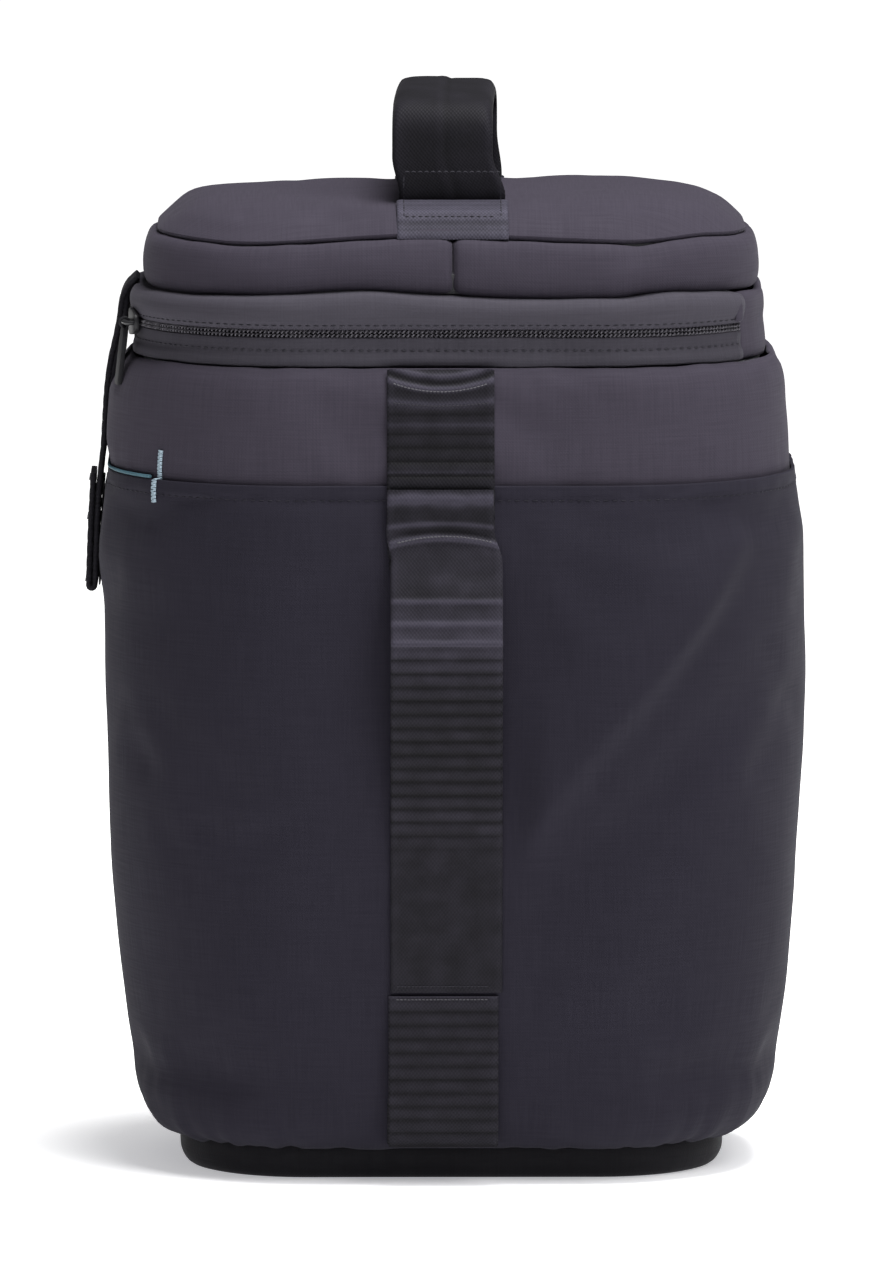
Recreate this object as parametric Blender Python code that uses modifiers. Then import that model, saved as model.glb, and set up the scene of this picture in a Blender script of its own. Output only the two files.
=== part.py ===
# A soft-sided, insulated food canister bag: padded fabric body, zipped lid that opens
# to one side, webbing carry handle, webbing loops down the front and the back.
# Metres, +Z up. The front is -Y, the lid's fabric hinge is at +X.

import math

import bmesh
import bpy
from mathutils import Vector

MM = 0.001

# Driving dimensions, in millimetres.
CORE_X, CORE_Y = 49.8, 18.7        # centres of the four corner arcs, shared by every layer
CORNER_STEPS = 8
BELLY_HALF, BELLY_Z = 119.6, 175.0  # widest half width, and its height
BELLY_FALL = 0.00052               # how fast the wall draws in above and below that
ROLL_TOP, ROLL_BOTTOM, ROLL_IN = 36.0, 10.9, 94.0    # rounded lower edge of the body
SEAM_Z = 241.0                     # where the sleeve is sewn over the yoke
SHOULDER_Z, SHOULDER_TOP, SHOULDER_IN = 264.0, 280.3, 109.3
BOOT_ROWS = ((86.0, 0), (89.3, 1.2), (91.6, 4.5), (92.4, 9), (92.4, 12.9))    # (half width, height)
BOARD_ROWS = ((86.2, 2.0), (87.4, 4.2))
BASE_FOAM_ROWS = ((87.8, 4.5), (89.5, 11.5))
TUB_ROWS = ((80.0, 12.2), (86.0, 13.0), (90.6, 17.5), (94.4, 27), (97.4, 38))
RIM_HEIGHTS = (250, 262, 270, 278.3)
BAND_HALF = 108.0                  # zip band, outer half width
ZIP_Z = 291.85                     # where the two rows of coil meet
LID_Z, LID_SEAM_Z, LID_SEAM_HALF = 303.5, 323.5, 101.5
CROWN, CROWN_REACH = 10.7, 45.0    # height of the lid's crown and how far in it rises
HANDLE_TOP, HANDLE_FOOT = 370.3, 48.0
GAP = 0.3                          # between touching pieces
WALL_HEIGHTS = (55, 90, 130, 175, 210)
SKIN, FOAM, LINER = 1.2, 8.0, 1.0
WEBBING_WIDTH, WEBBING = 38.0, 1.7
HINGE_ANGLE = 33.75                # the zip stops this far short of the right side, round the corners
SLIDER_ANGLE = 12.0                # where the closed zip's sliders rest, past the left side

YOKE_INSET = SKIN + GAP
FOAM_INSET = 2 * YOKE_INSET
LINER_INSET = FOAM_INSET + FOAM + GAP
DEPTH_LESS = CORE_X - CORE_Y       # a layer's half depth is its half width less this

for old in list(bpy.data.objects):
    bpy.data.objects.remove(old)

scene = bpy.context.scene
bag = bpy.data.collections.new("canister_bag")
cutters = bpy.data.collections.new("cutters")
scene.collection.children.link(bag)
scene.collection.children.link(cutters)

FINISHES = {                       # colour, roughness, metallic
    "sleeve": ((0.024, 0.022, 0.034), 0.85, 0.0),
    "yoke": ((0.055, 0.050, 0.067), 0.85, 0.0),
    "band": ((0.075, 0.070, 0.085), 0.80, 0.0),
    "coil": ((0.035, 0.034, 0.042), 0.45, 0.0),
    "webbing": ((0.018, 0.018, 0.023), 0.70, 0.0),
    "boot": ((0.010, 0.010, 0.012), 0.60, 0.0),
    "foam": ((0.60, 0.60, 0.58), 0.95, 0.0),
    "liner": ((0.42, 0.44, 0.46), 0.40, 0.0),
    "board": ((0.03, 0.03, 0.03), 0.50, 0.0),
    "thread": ((0.22, 0.42, 0.50), 0.60, 0.0),
    "slider": ((0.05, 0.05, 0.055), 0.35, 1.0),
    "velcro": ((0.012, 0.012, 0.014), 0.95, 0.0),
}


def finish(name):
    material = bpy.data.materials.get(name)
    if material is None:
        colour, roughness, metallic = FINISHES[name]
        material = bpy.data.materials.new(name)
        material.use_nodes = True
        shader = material.node_tree.nodes["Principled BSDF"]
        shader.inputs["Base Color"].default_value = (*colour, 1)
        shader.inputs["Roughness"].default_value = roughness
        shader.inputs["Metallic"].default_value = metallic
        material.diffuse_color = (*colour, 1)
    return material


def place(name, mesh, look, collection=bag):
    obj = bpy.data.objects.new(name, mesh)
    if not mesh.materials:
        mesh.materials.append(finish(look))
    collection.objects.link(obj)
    return obj


def mesh_of(name, points, faces):
    mesh = bpy.data.meshes.new(name)
    mesh.from_pydata([Vector(p) * MM for p in points], [], faces)
    mesh.shade_smooth()
    mesh.set_sharp_from_angle(angle=math.radians(40))
    return mesh


def thicken(obj, thickness, offset):
    solidify = obj.modifiers.new("thickness", "SOLIDIFY")
    solidify.thickness = thickness * MM
    solidify.offset = offset
    solidify.use_even_offset = True


# The plan is a rounded rectangle whose layers are exact parallel curves.

def ring_stations():
    """(centre, direction) all the way round, counter-clockwise from the middle of the right side."""
    corners = [
        (CORE_X, CORE_Y, 0),
        (-CORE_X, CORE_Y, 90),
        (-CORE_X, -CORE_Y, 180),
        (CORE_X, -CORE_Y, 270),
    ]
    middles = {0: (0, CORE_Y), 90: (-CORE_X, 0), 180: (0, -CORE_Y)}    # of the side after each corner
    stations = [((CORE_X, 0), 0.0)]
    for x, y, start in corners:
        stations += [((x, y), start + 90 * step / CORNER_STEPS) for step in range(CORNER_STEPS + 1)]
        if start in middles:
            stations.append((middles[start], start + 90.0))
    return stations


RING = ring_stations()


def on_plan(station, half, z):
    (x, y), degrees = station
    reach = half - CORE_X
    angle = math.radians(degrees)
    return (x + reach * math.cos(angle), y + reach * math.sin(angle), z)


def part_of_ring(first, last):
    """Stations whose direction lies from first to last degrees, in order round the ring."""
    return [s for s in RING if first - 0.01 <= s[1] <= last + 0.01]


def loft(name, rows, look, stations=None, thickness=0.0, bottom=False, top=False):
    """A skin through rows of (half width, height), bottom to top, facing out."""
    ring = stations or RING
    around = len(ring)
    points = [on_plan(s, half, z) for half, z in rows for s in ring]
    columns = around if stations is None else around - 1
    faces = []
    for row in range(len(rows) - 1):
        for i in range(columns):
            j = (i + 1) % around
            low, high = row * around, (row + 1) * around
            faces.append((low + i, low + j, high + j, high + i))
    if bottom:
        faces.append(tuple(reversed(range(around))))
    if top:
        faces.append(tuple((len(rows) - 1) * around + i for i in range(around)))
    obj = place(name, mesh_of(name, points, faces), look)
    if thickness:
        thicken(obj, thickness, -1)
    return obj


def bow(start, end, steps, flat_first=False):
    """Quarter ellipse from start to end: upright at the start, level at the end, or the other way round."""
    (a0, z0), (a1, z1) = start, end
    points = []
    for step in range(steps + 1):
        turn = math.radians(90 * step / steps)
        along, across = math.sin(turn), 1 - math.cos(turn)
        if flat_first:
            along, across = across, along
        points.append((a0 + (a1 - a0) * across, z0 + (z1 - z0) * along))
    return points


def through(route, steps):
    """A smooth curve through the points of a route."""
    before = Vector(route[0]) * 2 - Vector(route[1])
    after = Vector(route[-1]) * 2 - Vector(route[-2])
    padded = [before, *map(Vector, route), after]
    points = []
    for a, b, c, d in zip(padded, padded[1:], padded[2:], padded[3:]):
        for step in range(steps):
            t = step / steps
            points.append(tuple(0.5 * (2 * b + (c - a) * t + (2 * a - 5 * b + 4 * c - d) * t * t
                                       + (3 * b - a - 3 * c + d) * t ** 3)))
    points.append(tuple(route[-1]))
    return points


# The body's profile.

def wall_half(z):
    return BELLY_HALF - BELLY_FALL * (z - BELLY_Z) ** 2


def skin_half(z):
    """Half width of whichever skin is outermost at height z."""
    if z < ROLL_TOP:
        share = (ROLL_TOP - z) / (ROLL_TOP - ROLL_BOTTOM)
        return ROLL_IN + (wall_half(ROLL_TOP) - ROLL_IN) * math.sqrt(max(0.0, 1 - share ** 2))
    if z <= SEAM_Z:
        return wall_half(z)
    if z <= SHOULDER_Z:
        return wall_half(z) - YOKE_INSET
    share = (z - SHOULDER_Z) / (SHOULDER_TOP - SHOULDER_Z)
    start = wall_half(SHOULDER_Z) - YOKE_INSET
    return SHOULDER_IN + (start - SHOULDER_IN) * math.sqrt(max(0.0, 1 - share ** 2))


def off_skin(z, out):
    """(half width, height) of a point this far out from the skin, square to it."""
    slope = (skin_half(z + 0.05) - skin_half(z - 0.05)) / 0.1
    if abs(z - SEAM_Z) < 1:
        slope = 0.0
    length = math.hypot(1, slope)
    return skin_half(z) + out / length, z - slope * out / length


def wall_rows(heights, inset=0.0):
    return [(wall_half(z) - inset, z) for z in heights]


def roll_rows(inset, steps=5):
    """The rounded lower edge, bottom to top, this far inside the sleeve."""
    start = (wall_half(ROLL_TOP) - inset, ROLL_TOP)
    end = (ROLL_IN - inset * 0.6, ROLL_BOTTOM + inset)
    return bow(start, end, steps)[::-1]


def shoulder_rows(inset, steps=5):
    start = (wall_half(SHOULDER_Z) - YOKE_INSET - inset, SHOULDER_Z)
    return bow(start, (SHOULDER_IN - inset, SHOULDER_TOP - inset), steps)


def make_body():
    loft("body_sleeve", roll_rows(0) + wall_rows((*WALL_HEIGHTS, SEAM_Z)), "sleeve", thickness=SKIN)
    loft("body_yoke", wall_rows((230, 247), YOKE_INSET) + shoulder_rows(0), "yoke", thickness=SKIN)
    loft("base_boot", BOOT_ROWS, "boot", thickness=1.5, bottom=True)
    loft("base_board", BOARD_ROWS, "board", bottom=True, top=True)
    loft("base_foam", BASE_FOAM_ROWS, "foam", bottom=True, top=True)
    foam = roll_rows(FOAM_INSET)[2:] + wall_rows(WALL_HEIGHTS, FOAM_INSET)
    loft("wall_foam", foam + shoulder_rows(SKIN + GAP, 4)[:-1], "foam", thickness=FOAM)
    make_liner()


def make_liner():
    wall = wall_rows(WALL_HEIGHTS, LINER_INSET + 0.1)
    mouth = SHOULDER_IN - LINER_INSET + 1
    rim = list(zip((mouth + 5, mouth + 2.6, mouth, mouth), RIM_HEIGHTS))
    rim.append((SHOULDER_IN - 3.6, RIM_HEIGHTS[-1] + 0.6))
    loft("liner_tub", [*TUB_ROWS, *wall, *rim], "liner", thickness=LINER, bottom=True)
    loft("rim_binding", [(SHOULDER_IN - 5.1, SHOULDER_TOP + 0.1), (SHOULDER_IN - 3.3, SHOULDER_TOP - 0.1)],
         "band", thickness=0.9)


TAPE = 1.0                         # thickness of the zip's tapes
COIL, COIL_PROUD = 1.4, 0.8        # height of one row of coil, and how far it stands out from its tape
BAND_LEAN = 0.6                    # how much the band draws in towards the lid


def make_zip_band():
    teeth = part_of_ring(HINGE_ANGLE, 360 - HINGE_ANGLE)
    hinge = [s for s in RING if s[1] >= 360 - HINGE_ANGLE - 0.01]
    hinge += [s for s in RING if s[1] <= HINGE_ANGLE + 0.01]
    band_low = SHOULDER_TOP + GAP
    band_high = LID_Z - GAP
    coil_half = BAND_HALF + COIL_PROUD
    below = (ZIP_Z - GAP / 2 - COIL, ZIP_Z - GAP / 2)
    above = (ZIP_Z + GAP / 2, ZIP_Z + GAP / 2 + COIL)
    loft("zip_tape_lower", [(BAND_HALF, band_low), (BAND_HALF, below[0] - GAP)], "band", teeth, TAPE)
    loft("zip_coil_lower", [(coil_half, z) for z in below], "coil", teeth, 2 * TAPE)
    loft("zip_coil_upper", [(coil_half, z) for z in above], "coil", teeth, 2 * TAPE)
    top_edge = (BAND_HALF - BAND_LEAN, band_high)
    loft("zip_tape_upper", [(BAND_HALF, above[1] + GAP), top_edge], "band", teeth, TAPE)
    panel = [(BAND_HALF, band_low), (BAND_HALF + 0.5, ZIP_Z), top_edge]
    loft("hinge_gusset", panel, "band", trimmed(hinge, GAP), TAPE)
    for name, degrees in (("zip_end_front", 360 - HINGE_ANGLE - 3), ("zip_end_back", HINGE_ANGLE + 3)):
        corner = (CORE_X, -CORE_Y if degrees > 180 else CORE_Y)
        ends = [(corner, degrees - 2.2), (corner, degrees + 2.2)]
        proud = BAND_HALF + 2 * TAPE
        loft(name, [(proud + 0.2, ZIP_Z + 2.4), (proud - 0.4, LID_Z - 2 * GAP)], "band", ends, TAPE)


def trimmed(stations, gap):
    """The same run of stations, drawn in at both ends by a gap measured along the band."""
    turn = math.degrees(gap / (BAND_HALF - CORE_X - 2))
    (first, a), (last, b) = stations[0], stations[-1]
    return [(first, a + turn), *stations[1:-1], (last, b - turn)]


# Zip sliders: each turns about its corner's centre as it follows the band round the corner.

PLATE, PLATE_WIDTH, PLATE_HEIGHT = 1.8, 11.5, 9.5
PLATE_IN = BAND_HALF - CORE_X + COIL_PROUD + GAP     # the plate's inner face, from the corner's centre
BAR_REACH = PLATE_IN + PLATE + 2.4                   # the bridge's bar, from the corner's centre
PULLER, PULLER_WIDTH, PULLER_LENGTH = 1.6, 6.5, 20.0


def slider_mesh():
    form = bmesh.new()
    bmesh.ops.create_cube(form, size=1)
    bmesh.ops.scale(form, vec=Vector((PLATE, PLATE_WIDTH, PLATE_HEIGHT)) * MM, verts=form.verts)
    bmesh.ops.translate(form, vec=Vector((PLATE_IN + PLATE / 2, 0, ZIP_Z)) * MM, verts=form.verts)
    upright = [e for e in form.edges if abs(e.verts[0].co.x - e.verts[1].co.x) > MM]
    bmesh.ops.bevel(form, geom=upright, offset=2.4 * MM, segments=3, profile=0.5, affect="EDGES")
    mesh = bpy.data.meshes.new("zip_slider")
    form.to_mesh(mesh)
    form.free()
    return mesh


def tube(name, route, radius, closed=False):
    """A round bar along a route, as a closed mesh, kept with the cutters."""
    curve = bpy.data.curves.new(name, "CURVE")
    curve.dimensions = "3D"
    curve.bevel_depth = radius * MM
    curve.bevel_resolution = 1
    curve.use_fill_caps = True
    spline = curve.splines.new("POLY")
    spline.points.add(len(route) - 1)
    for point, place_at in zip(spline.points, route):
        point.co = (*(Vector(place_at) * MM), 1)
    spline.use_cyclic_u = closed
    guide = bpy.data.objects.new(name + "_curve", curve)
    cutters.objects.link(guide)
    mesh = evaluated_mesh(guide)
    bpy.data.objects.remove(guide)
    form = bmesh.new()
    form.from_mesh(mesh)
    bmesh.ops.remove_doubles(form, verts=form.verts, dist=0.00001)
    bmesh.ops.recalc_face_normals(form, faces=form.faces)
    form.to_mesh(mesh)
    form.free()
    return helper(name, mesh)


def helper(name, mesh):
    obj = bpy.data.objects.new(name, mesh)
    obj.hide_render = True
    obj.display_type = "WIRE"
    cutters.objects.link(obj)
    return obj


def evaluated_mesh(obj):
    graph = bpy.context.evaluated_depsgraph_get()
    return bpy.data.meshes.new_from_object(obj.evaluated_get(graph))


def joined(name, mesh, other, look):
    """The mesh of a piece joined to a helper, so that copies of it can be placed anywhere."""
    guide = helper(name, mesh)
    join = guide.modifiers.new("join", "BOOLEAN")
    join.operation = "UNION"
    join.object = other
    whole = evaluated_mesh(guide)
    whole.materials.clear()
    whole.materials.append(finish(look))
    return whole


def make_sliders():
    foot = BAR_REACH - 3.2
    arch = [(foot, -4.2, ZIP_Z), (BAR_REACH - 0.8, -4.2, ZIP_Z), (BAR_REACH, -3.2, ZIP_Z),
            (BAR_REACH, 3.2, ZIP_Z), (BAR_REACH - 0.8, 4.2, ZIP_Z), (foot, 4.2, ZIP_Z)]
    bridge = tube("bridge", arch, 0.6)
    turns = [step * math.pi / 6 for step in range(12)]
    round_bar = [(BAR_REACH + 1.6 * math.cos(t), 0, ZIP_Z + 1.6 * math.sin(t)) for t in turns]
    ring = tube("puller_ring", round_bar, 0.5, closed=True)
    slider = joined("zip_slider", slider_mesh(), bridge, "slider")
    puller = joined("zip_puller", puller_mesh(), ring, "webbing")
    for name, y, degrees in (("front", -CORE_Y, 180 + SLIDER_ANGLE), ("back", CORE_Y, 180 - SLIDER_ANGLE)):
        turn_at = bpy.data.objects.new(f"zip_corner_{name}", None)
        turn_at.location = (-CORE_X * MM, y * MM, 0)
        turn_at.rotation_euler.z = math.radians(degrees)
        bag.objects.link(turn_at)
        for piece, mesh in (("zip_slider", slider), ("zip_puller", puller)):
            place(f"{piece}_{name}", mesh, "slider").parent = turn_at


def puller_mesh():
    """A flat tab that hangs from its ring and lies on the shoulder."""
    form = bmesh.new()
    bmesh.ops.create_cube(form, size=1)
    bmesh.ops.scale(form, vec=Vector((PULLER, PULLER_WIDTH, PULLER_LENGTH)) * MM, verts=form.verts)
    long_edges = [e for e in form.edges if abs(e.verts[0].co.x - e.verts[1].co.x) > 0.5 * MM]
    bmesh.ops.bevel(form, geom=long_edges, offset=1.6 * MM, segments=2, profile=0.5, affect="EDGES")
    for vert in form.verts:
        down = PULLER_LENGTH / 2 * MM - vert.co.z
        vert.co.x += BAR_REACH * MM + down * 0.115
        vert.co.z = (ZIP_Z - 1.4) * MM - down
    mesh = bpy.data.meshes.new("zip_puller")
    form.to_mesh(mesh)
    form.free()
    return mesh


# The lid.

def crown_z(inset):
    """Height of the lid's top this far in from its seam."""
    rise = 1 - (1 - min(inset, CROWN_REACH) / CROWN_REACH) ** 4
    return LID_SEAM_Z + CROWN * rise


def make_lid():
    band = [(104.5, LID_Z), (105.8, 307.5), (106.0, 312), (104.9, 317.5)]
    band.append((LID_SEAM_HALF + 0.6, LID_SEAM_Z - GAP))
    left = part_of_ring(90, 270)
    left = [s for s in left if s[0][0] <= 0.01]
    right = [s for s in RING if s[1] >= 269.99 and s[0][0] >= -0.01]
    right += [s for s in RING if s[1] <= 90.01 and s[0][0] >= -0.01]
    loft("lid_band_left", band, "yoke", shifted(left, -GAP), SKIN)
    loft("lid_band_right", band, "yoke", shifted(right, GAP), SKIN)
    insets = (0, 2.5, 6, 11, 18, 28, CROWN_REACH)
    loft("lid_top_panel", [(LID_SEAM_HALF - d, crown_z(d)) for d in insets], "yoke", thickness=SKIN, top=True)
    lid_liner_half = 102.8
    liner_top = LID_Z + SKIN
    loft("lid_liner", [(lid_liner_half, LID_Z), (lid_liner_half, liner_top)], "liner", bottom=True, top=True)
    core = [(lid_liner_half, liner_top + GAP), (104.0, 311.5), (99.2, 321.6)]
    core += [(LID_SEAM_HALF - 2.5 - d, crown_z(d) - SKIN - 0.8) for d in (2.5, 8, 18, CROWN_REACH - 4)]
    loft("lid_foam", core, "foam", bottom=True, top=True)


def shifted(stations, gap):
    """The run with its two end stations moved off the middle line by half a gap."""
    ends = [((math.copysign(abs(gap) / 2, gap), s[0][1]), s[1]) for s in (stations[0], stations[-1])]
    return [ends[0], *stations[1:-1], ends[1]]


# Webbing.

def ribbon(name, path, width, thickness, look="webbing"):
    """Webbing square to the front face along a path of (distance in front, height)."""
    points = [(side * width / 2, -out, z) for out, z in path for side in (-1, 1)]
    faces = [(2 * i, 2 * i + 1, 2 * i + 3, 2 * i + 2) for i in range(len(path) - 1)]
    obj = place(name, mesh_of(name, points, faces), look)
    thicken(obj, thickness, 0)
    return obj


def on_both_faces(front_name, path, width, thickness):
    """The same piece on the front and, turned half round, on the back."""
    front = ribbon(front_name, path, width, thickness)
    back = place(front_name.replace("front", "back"), front.data, "webbing")
    back.rotation_euler.z = math.pi
    thicken(back, thickness, 0)


def in_front(points):
    """Turns (half width, height) points of the profile into (distance in front, height)."""
    return [(half - DEPTH_LESS, z) for half, z in points]


# Each loop's route down the strip: (height, how far it bows out).
GRAB_LOOP = (
    (240, 0), (231.5, 0), (223.5, 0.1), (213, 2.4), (201.5, 6.2), (192.5, 8.8), (188.5, 9.6),
    (182, 9.0), (166, 6.6), (147, 3.4), (129, 1.0), (116, 0), (92, 0), (68.2, 0),
)
LOW_LOOP = ((67, 0), (60, 0.3), (49, 1.2), (39, 1.5), (30, 1.2), (23, 0.5), (18, 0), (15.5, 0))
GRIP, GRIP_WIDTH = 3.4, 34.0       # the handle's webbing, folded double


def make_webbing():
    base_out = GAP + WEBBING / 2
    over = base_out + WEBBING + GAP
    heights = (279.2, 276, 271, 263, 251, 240.2, 215, 180, 140, 100, 70, 45, 34, 26, 20, 16.5, 14.6)
    strip = [off_skin(z, base_out) for z in heights]
    on_both_faces("front_webbing", in_front(strip), WEBBING_WIDTH - 1.6, WEBBING)
    for name, route in (("front_grab_loop", GRAB_LOOP), ("front_low_loop", LOW_LOOP)):
        path = in_front([off_skin(z, over + out) for z, out in route])
        on_both_faces(name, path, WEBBING_WIDTH, WEBBING)


def make_handle():
    seam_depth = LID_SEAM_HALF - DEPTH_LESS
    lift = GAP + 0.7
    patch = [(seam_depth - d, crown_z(d) + lift + 0.2) for d in (0.6, 3, 6, 10, 15, 19.4)]
    on_both_faces("handle_anchor_front", patch, WEBBING_WIDTH, 1.4)
    foot_z = crown_z(seam_depth - HANDLE_FOOT) + GAP + 0.2
    upright = HANDLE_FOOT + 0.7
    foot = [(HANDLE_FOOT, foot_z), (HANDLE_FOOT + 0.6, 343), (upright, 351), (upright, 357.8)]
    on_both_faces("handle_foot_front", foot, GRIP_WIDTH + 0.4, GRIP)
    top = HANDLE_TOP - GRIP / 2
    half = [(upright, 358.2), (upright, 359.4), (upright - 1.6, 363), (upright - 5.3, 366.2)]
    half += [(upright - 11.7, 368.2), (upright - 24.7, top)]
    ribbon("handle_grip", half + [(-y, z) for y, z in reversed(half)], GRIP_WIDTH, GRIP)


# Closure strap on the left: a webbing strap off the lid, its end folded into a thick tab.

def plate_outline(name, outline, width, look):
    """A flat outline in the XZ plane, extruded to a width across Y."""
    curve = bpy.data.curves.new(name, "CURVE")
    curve.dimensions = "2D"
    curve.fill_mode = "BOTH"
    curve.extrude = width / 2 * MM
    spline = curve.splines.new("POLY")
    spline.points.add(len(outline) - 1)
    for point, (x, z) in zip(spline.points, outline):
        point.co = (x * MM, z * MM, 0, 1)
    spline.use_cyclic_u = True
    curve.materials.append(finish(look))
    obj = bpy.data.objects.new(name, curve)
    obj.rotation_euler.x = math.pi / 2
    bag.objects.link(obj)
    return obj


STRAP_WIDTH, TAB_LOW, TAB_HIGH = 25.0, 197.0, 238.0
TAB_HEIGHTS = (TAB_HIGH, 228, 218, 208, TAB_LOW)


def layer(heights, near, far):
    """The outline of a layer on the left wall, from near to far outside the skin."""
    inner = [(-wall_half(z) - near, z) for z in heights]
    outer = [(-wall_half(z) - far, z) for z in reversed(heights)]
    return inner + outer


def make_closure():
    inner = through([(-107.2, 304.6), (-110.0, 300.6), (-111.6, 293), (-112.6, 285), (-115.0, 276),
                     (-116.9, 267), (-117.9, 257), (-118.9, 247), (-119.6, 241)], 2)
    outer = through([(-108.9, 305.8), (-112.2, 301.6), (-113.9, 293), (-114.9, 285.6), (-117.3, 277),
                     (-119.2, 267.6), (-120.2, 257), (-121.2, 247), (-121.8, 240)], 2)
    tab_in = [(-wall_half(z) - 2.3, z) for z in TAB_HEIGHTS]
    tab_out = [(-wall_half(z) - 6.4, z) for z in TAB_HEIGHTS]
    plate_outline("closure_strap", inner + tab_in + tab_out[::-1] + outer[::-1], STRAP_WIDTH, "webbing")
    patch = (236, 226, 216, 206, 199)
    plate_outline("hook_patch", layer(patch, 1.3, 2.0), STRAP_WIDTH - 3, "velcro")
    plate_outline("loop_patch", layer(patch, 0.3, 1.0), STRAP_WIDTH - 1, "velcro")


# Side pocket on the left: a lining behind the sleeve, a bound mouth, two bar tacks.

POCKET_ANGLE = 51.5


def make_pocket():
    mouth = part_of_ring(90 + POCKET_ANGLE, 270 - POCKET_ANGLE)
    lining = wall_rows((*WALL_HEIGHTS[2:], 229.4), YOKE_INSET)
    loft("pocket_lining", lining, "sleeve", mouth, 0.8)
    bound = wall_half(SEAM_Z) + 0.1
    loft("pocket_binding", [(bound, SEAM_Z + GAP), (bound, SEAM_Z + 1.5)], "thread", mouth, 1.3)
    front_tack = 270 - POCKET_ANGLE + 2.4
    for name, y, degrees in (("front", -CORE_Y, front_tack), ("back", CORE_Y, 360 - front_tack)):
        corner = (-CORE_X, y)
        ends = [(corner, degrees - 0.8), (corner, degrees + 0.8)]
        rows = [(wall_half(SEAM_Z) + 1.5, z) for z in (233.5, 250.5)]
        loft(f"pocket_tack_{name}", rows, "thread", ends, 0.8)


make_body()
make_zip_band()
make_sliders()
make_lid()
make_webbing()
make_handle()
make_closure()
make_pocket()
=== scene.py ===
import math

import bmesh
import bpy
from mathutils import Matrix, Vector, noise
from mathutils.bvhtree import BVHTree


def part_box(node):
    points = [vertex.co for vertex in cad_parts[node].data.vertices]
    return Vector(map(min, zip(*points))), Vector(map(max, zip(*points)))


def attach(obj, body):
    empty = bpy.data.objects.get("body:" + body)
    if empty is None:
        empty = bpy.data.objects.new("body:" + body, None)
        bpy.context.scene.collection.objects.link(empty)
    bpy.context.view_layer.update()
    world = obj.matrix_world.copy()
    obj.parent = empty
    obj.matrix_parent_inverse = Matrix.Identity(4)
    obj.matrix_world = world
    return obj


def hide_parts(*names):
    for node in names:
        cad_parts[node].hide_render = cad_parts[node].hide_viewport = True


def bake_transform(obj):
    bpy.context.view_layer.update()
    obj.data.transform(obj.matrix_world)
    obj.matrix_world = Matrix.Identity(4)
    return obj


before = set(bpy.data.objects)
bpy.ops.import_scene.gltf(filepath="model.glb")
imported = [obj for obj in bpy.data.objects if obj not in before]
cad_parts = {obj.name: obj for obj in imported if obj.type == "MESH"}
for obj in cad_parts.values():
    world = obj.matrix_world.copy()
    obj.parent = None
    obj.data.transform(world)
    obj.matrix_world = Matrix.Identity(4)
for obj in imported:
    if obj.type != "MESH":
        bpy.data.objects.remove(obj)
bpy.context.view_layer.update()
mm = 0.001    # everything below is in millimetres until a mesh is made


def boxOf(node):
    low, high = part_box(node)
    return low / mm, high / mm


sleeveLow, sleeveHigh = boxOf("body_sleeve")
yokeLow, yokeHigh = boxOf("body_yoke")
topLow, topHigh = boxOf("lid_top_panel")
bandLow, lidLow = boxOf("zip_tape_lower")[0], boxOf("lid_band_left")[0]
coilHigh, gripHigh = boxOf("zip_coil_lower")[1], boxOf("handle_grip")[1]

plan = {
    "coreX": 49.8,                                         # centres of the four corner arcs
    "coreY": 49.8 - (sleeveHigh.x - sleeveHigh.y),
    "fair": 62.0,                                          # corner radius that lengths of cloth are counted on
}
wall = {
    "belly": sleeveHigh.x, "bellyZ": 175.0, "fall": 0.00052,    # widest half width, where, and how it draws in
    "rollTop": 36.0, "rollBottom": sleeveLow.z, "rollIn": 94.0,    # rounded lower edge
    "seamZ": sleeveHigh.z,                                 # where the sleeve is sewn over the yoke
    "shoulderZ": 264.0, "shoulderTop": yokeHigh.z, "shoulderIn": 109.3,
    "yokeInset": 1.5,
}
zipBand = {"half": -bandLow.x, "z": coilHigh.z + 0.15, "hinge": 33.75}
lid = {"low": lidLow.z, "seamZ": topLow.z, "seamHalf": topHigh.x, "crown": topHigh.z - topLow.z, "reach": 45.0}


quarter = plan["fair"] * math.pi / 2
legs = []    # (length, centre at the start, centre's drift, direction at the start in degrees, turn in degrees)
for cornerX, cornerY, drift, length, facing in (
    (1, 1, (-1, 0), 2 * plan["coreX"], 0),
    (-1, 1, (0, -1), 2 * plan["coreY"], 90),
    (-1, -1, (1, 0), 2 * plan["coreX"], 180),
    (1, -1, (0, 1), 2 * plan["coreY"], 270),
):
    centre = (cornerX * plan["coreX"], cornerY * plan["coreY"])
    legs.append((quarter, centre, (0, 0), facing, 90))
    legs.append((length, centre, drift, facing + 90, 0))
around = sum(leg[0] for leg in legs)


def planAt(run):
    # The arc centre and outward angle a length of cloth round the bag from the right side's back end.
    run %= around
    for length, (x, y), (dx, dy), facing, turn in legs:
        if run <= length:
            return x + dx * run, y + dy * run, math.radians(facing + turn * run / length)
        run -= length
    return x + dx * length, y + dy * length, math.radians(facing)


def runAt(degrees):
    # The length round the bag at which a corner faces this way; whole quarters give the corner's far end.
    corner = int((degrees - 0.001) // 90)
    return sum(leg[0] for leg in legs[:2 * corner]) + quarter * (degrees - 90 * corner) / 90


frontMiddle = runAt(270) + plan["coreX"]
backMiddle = runAt(90) + plan["coreX"]
leftMiddle = runAt(180) + plan["coreY"]


def onPlan(run, half, z=0.0):
    x, y, turn = planAt(run)
    reach = half - plan["coreX"]
    return Vector((x + reach * math.cos(turn), y + reach * math.sin(turn), z))


def pastCore(place):
    return math.hypot(max(0, abs(place.x) - plan["coreX"]), max(0, abs(place.y) - plan["coreY"]))


def outward(run):
    turn = planAt(run)[2]
    return Vector((math.cos(turn), math.sin(turn), 0))


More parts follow.
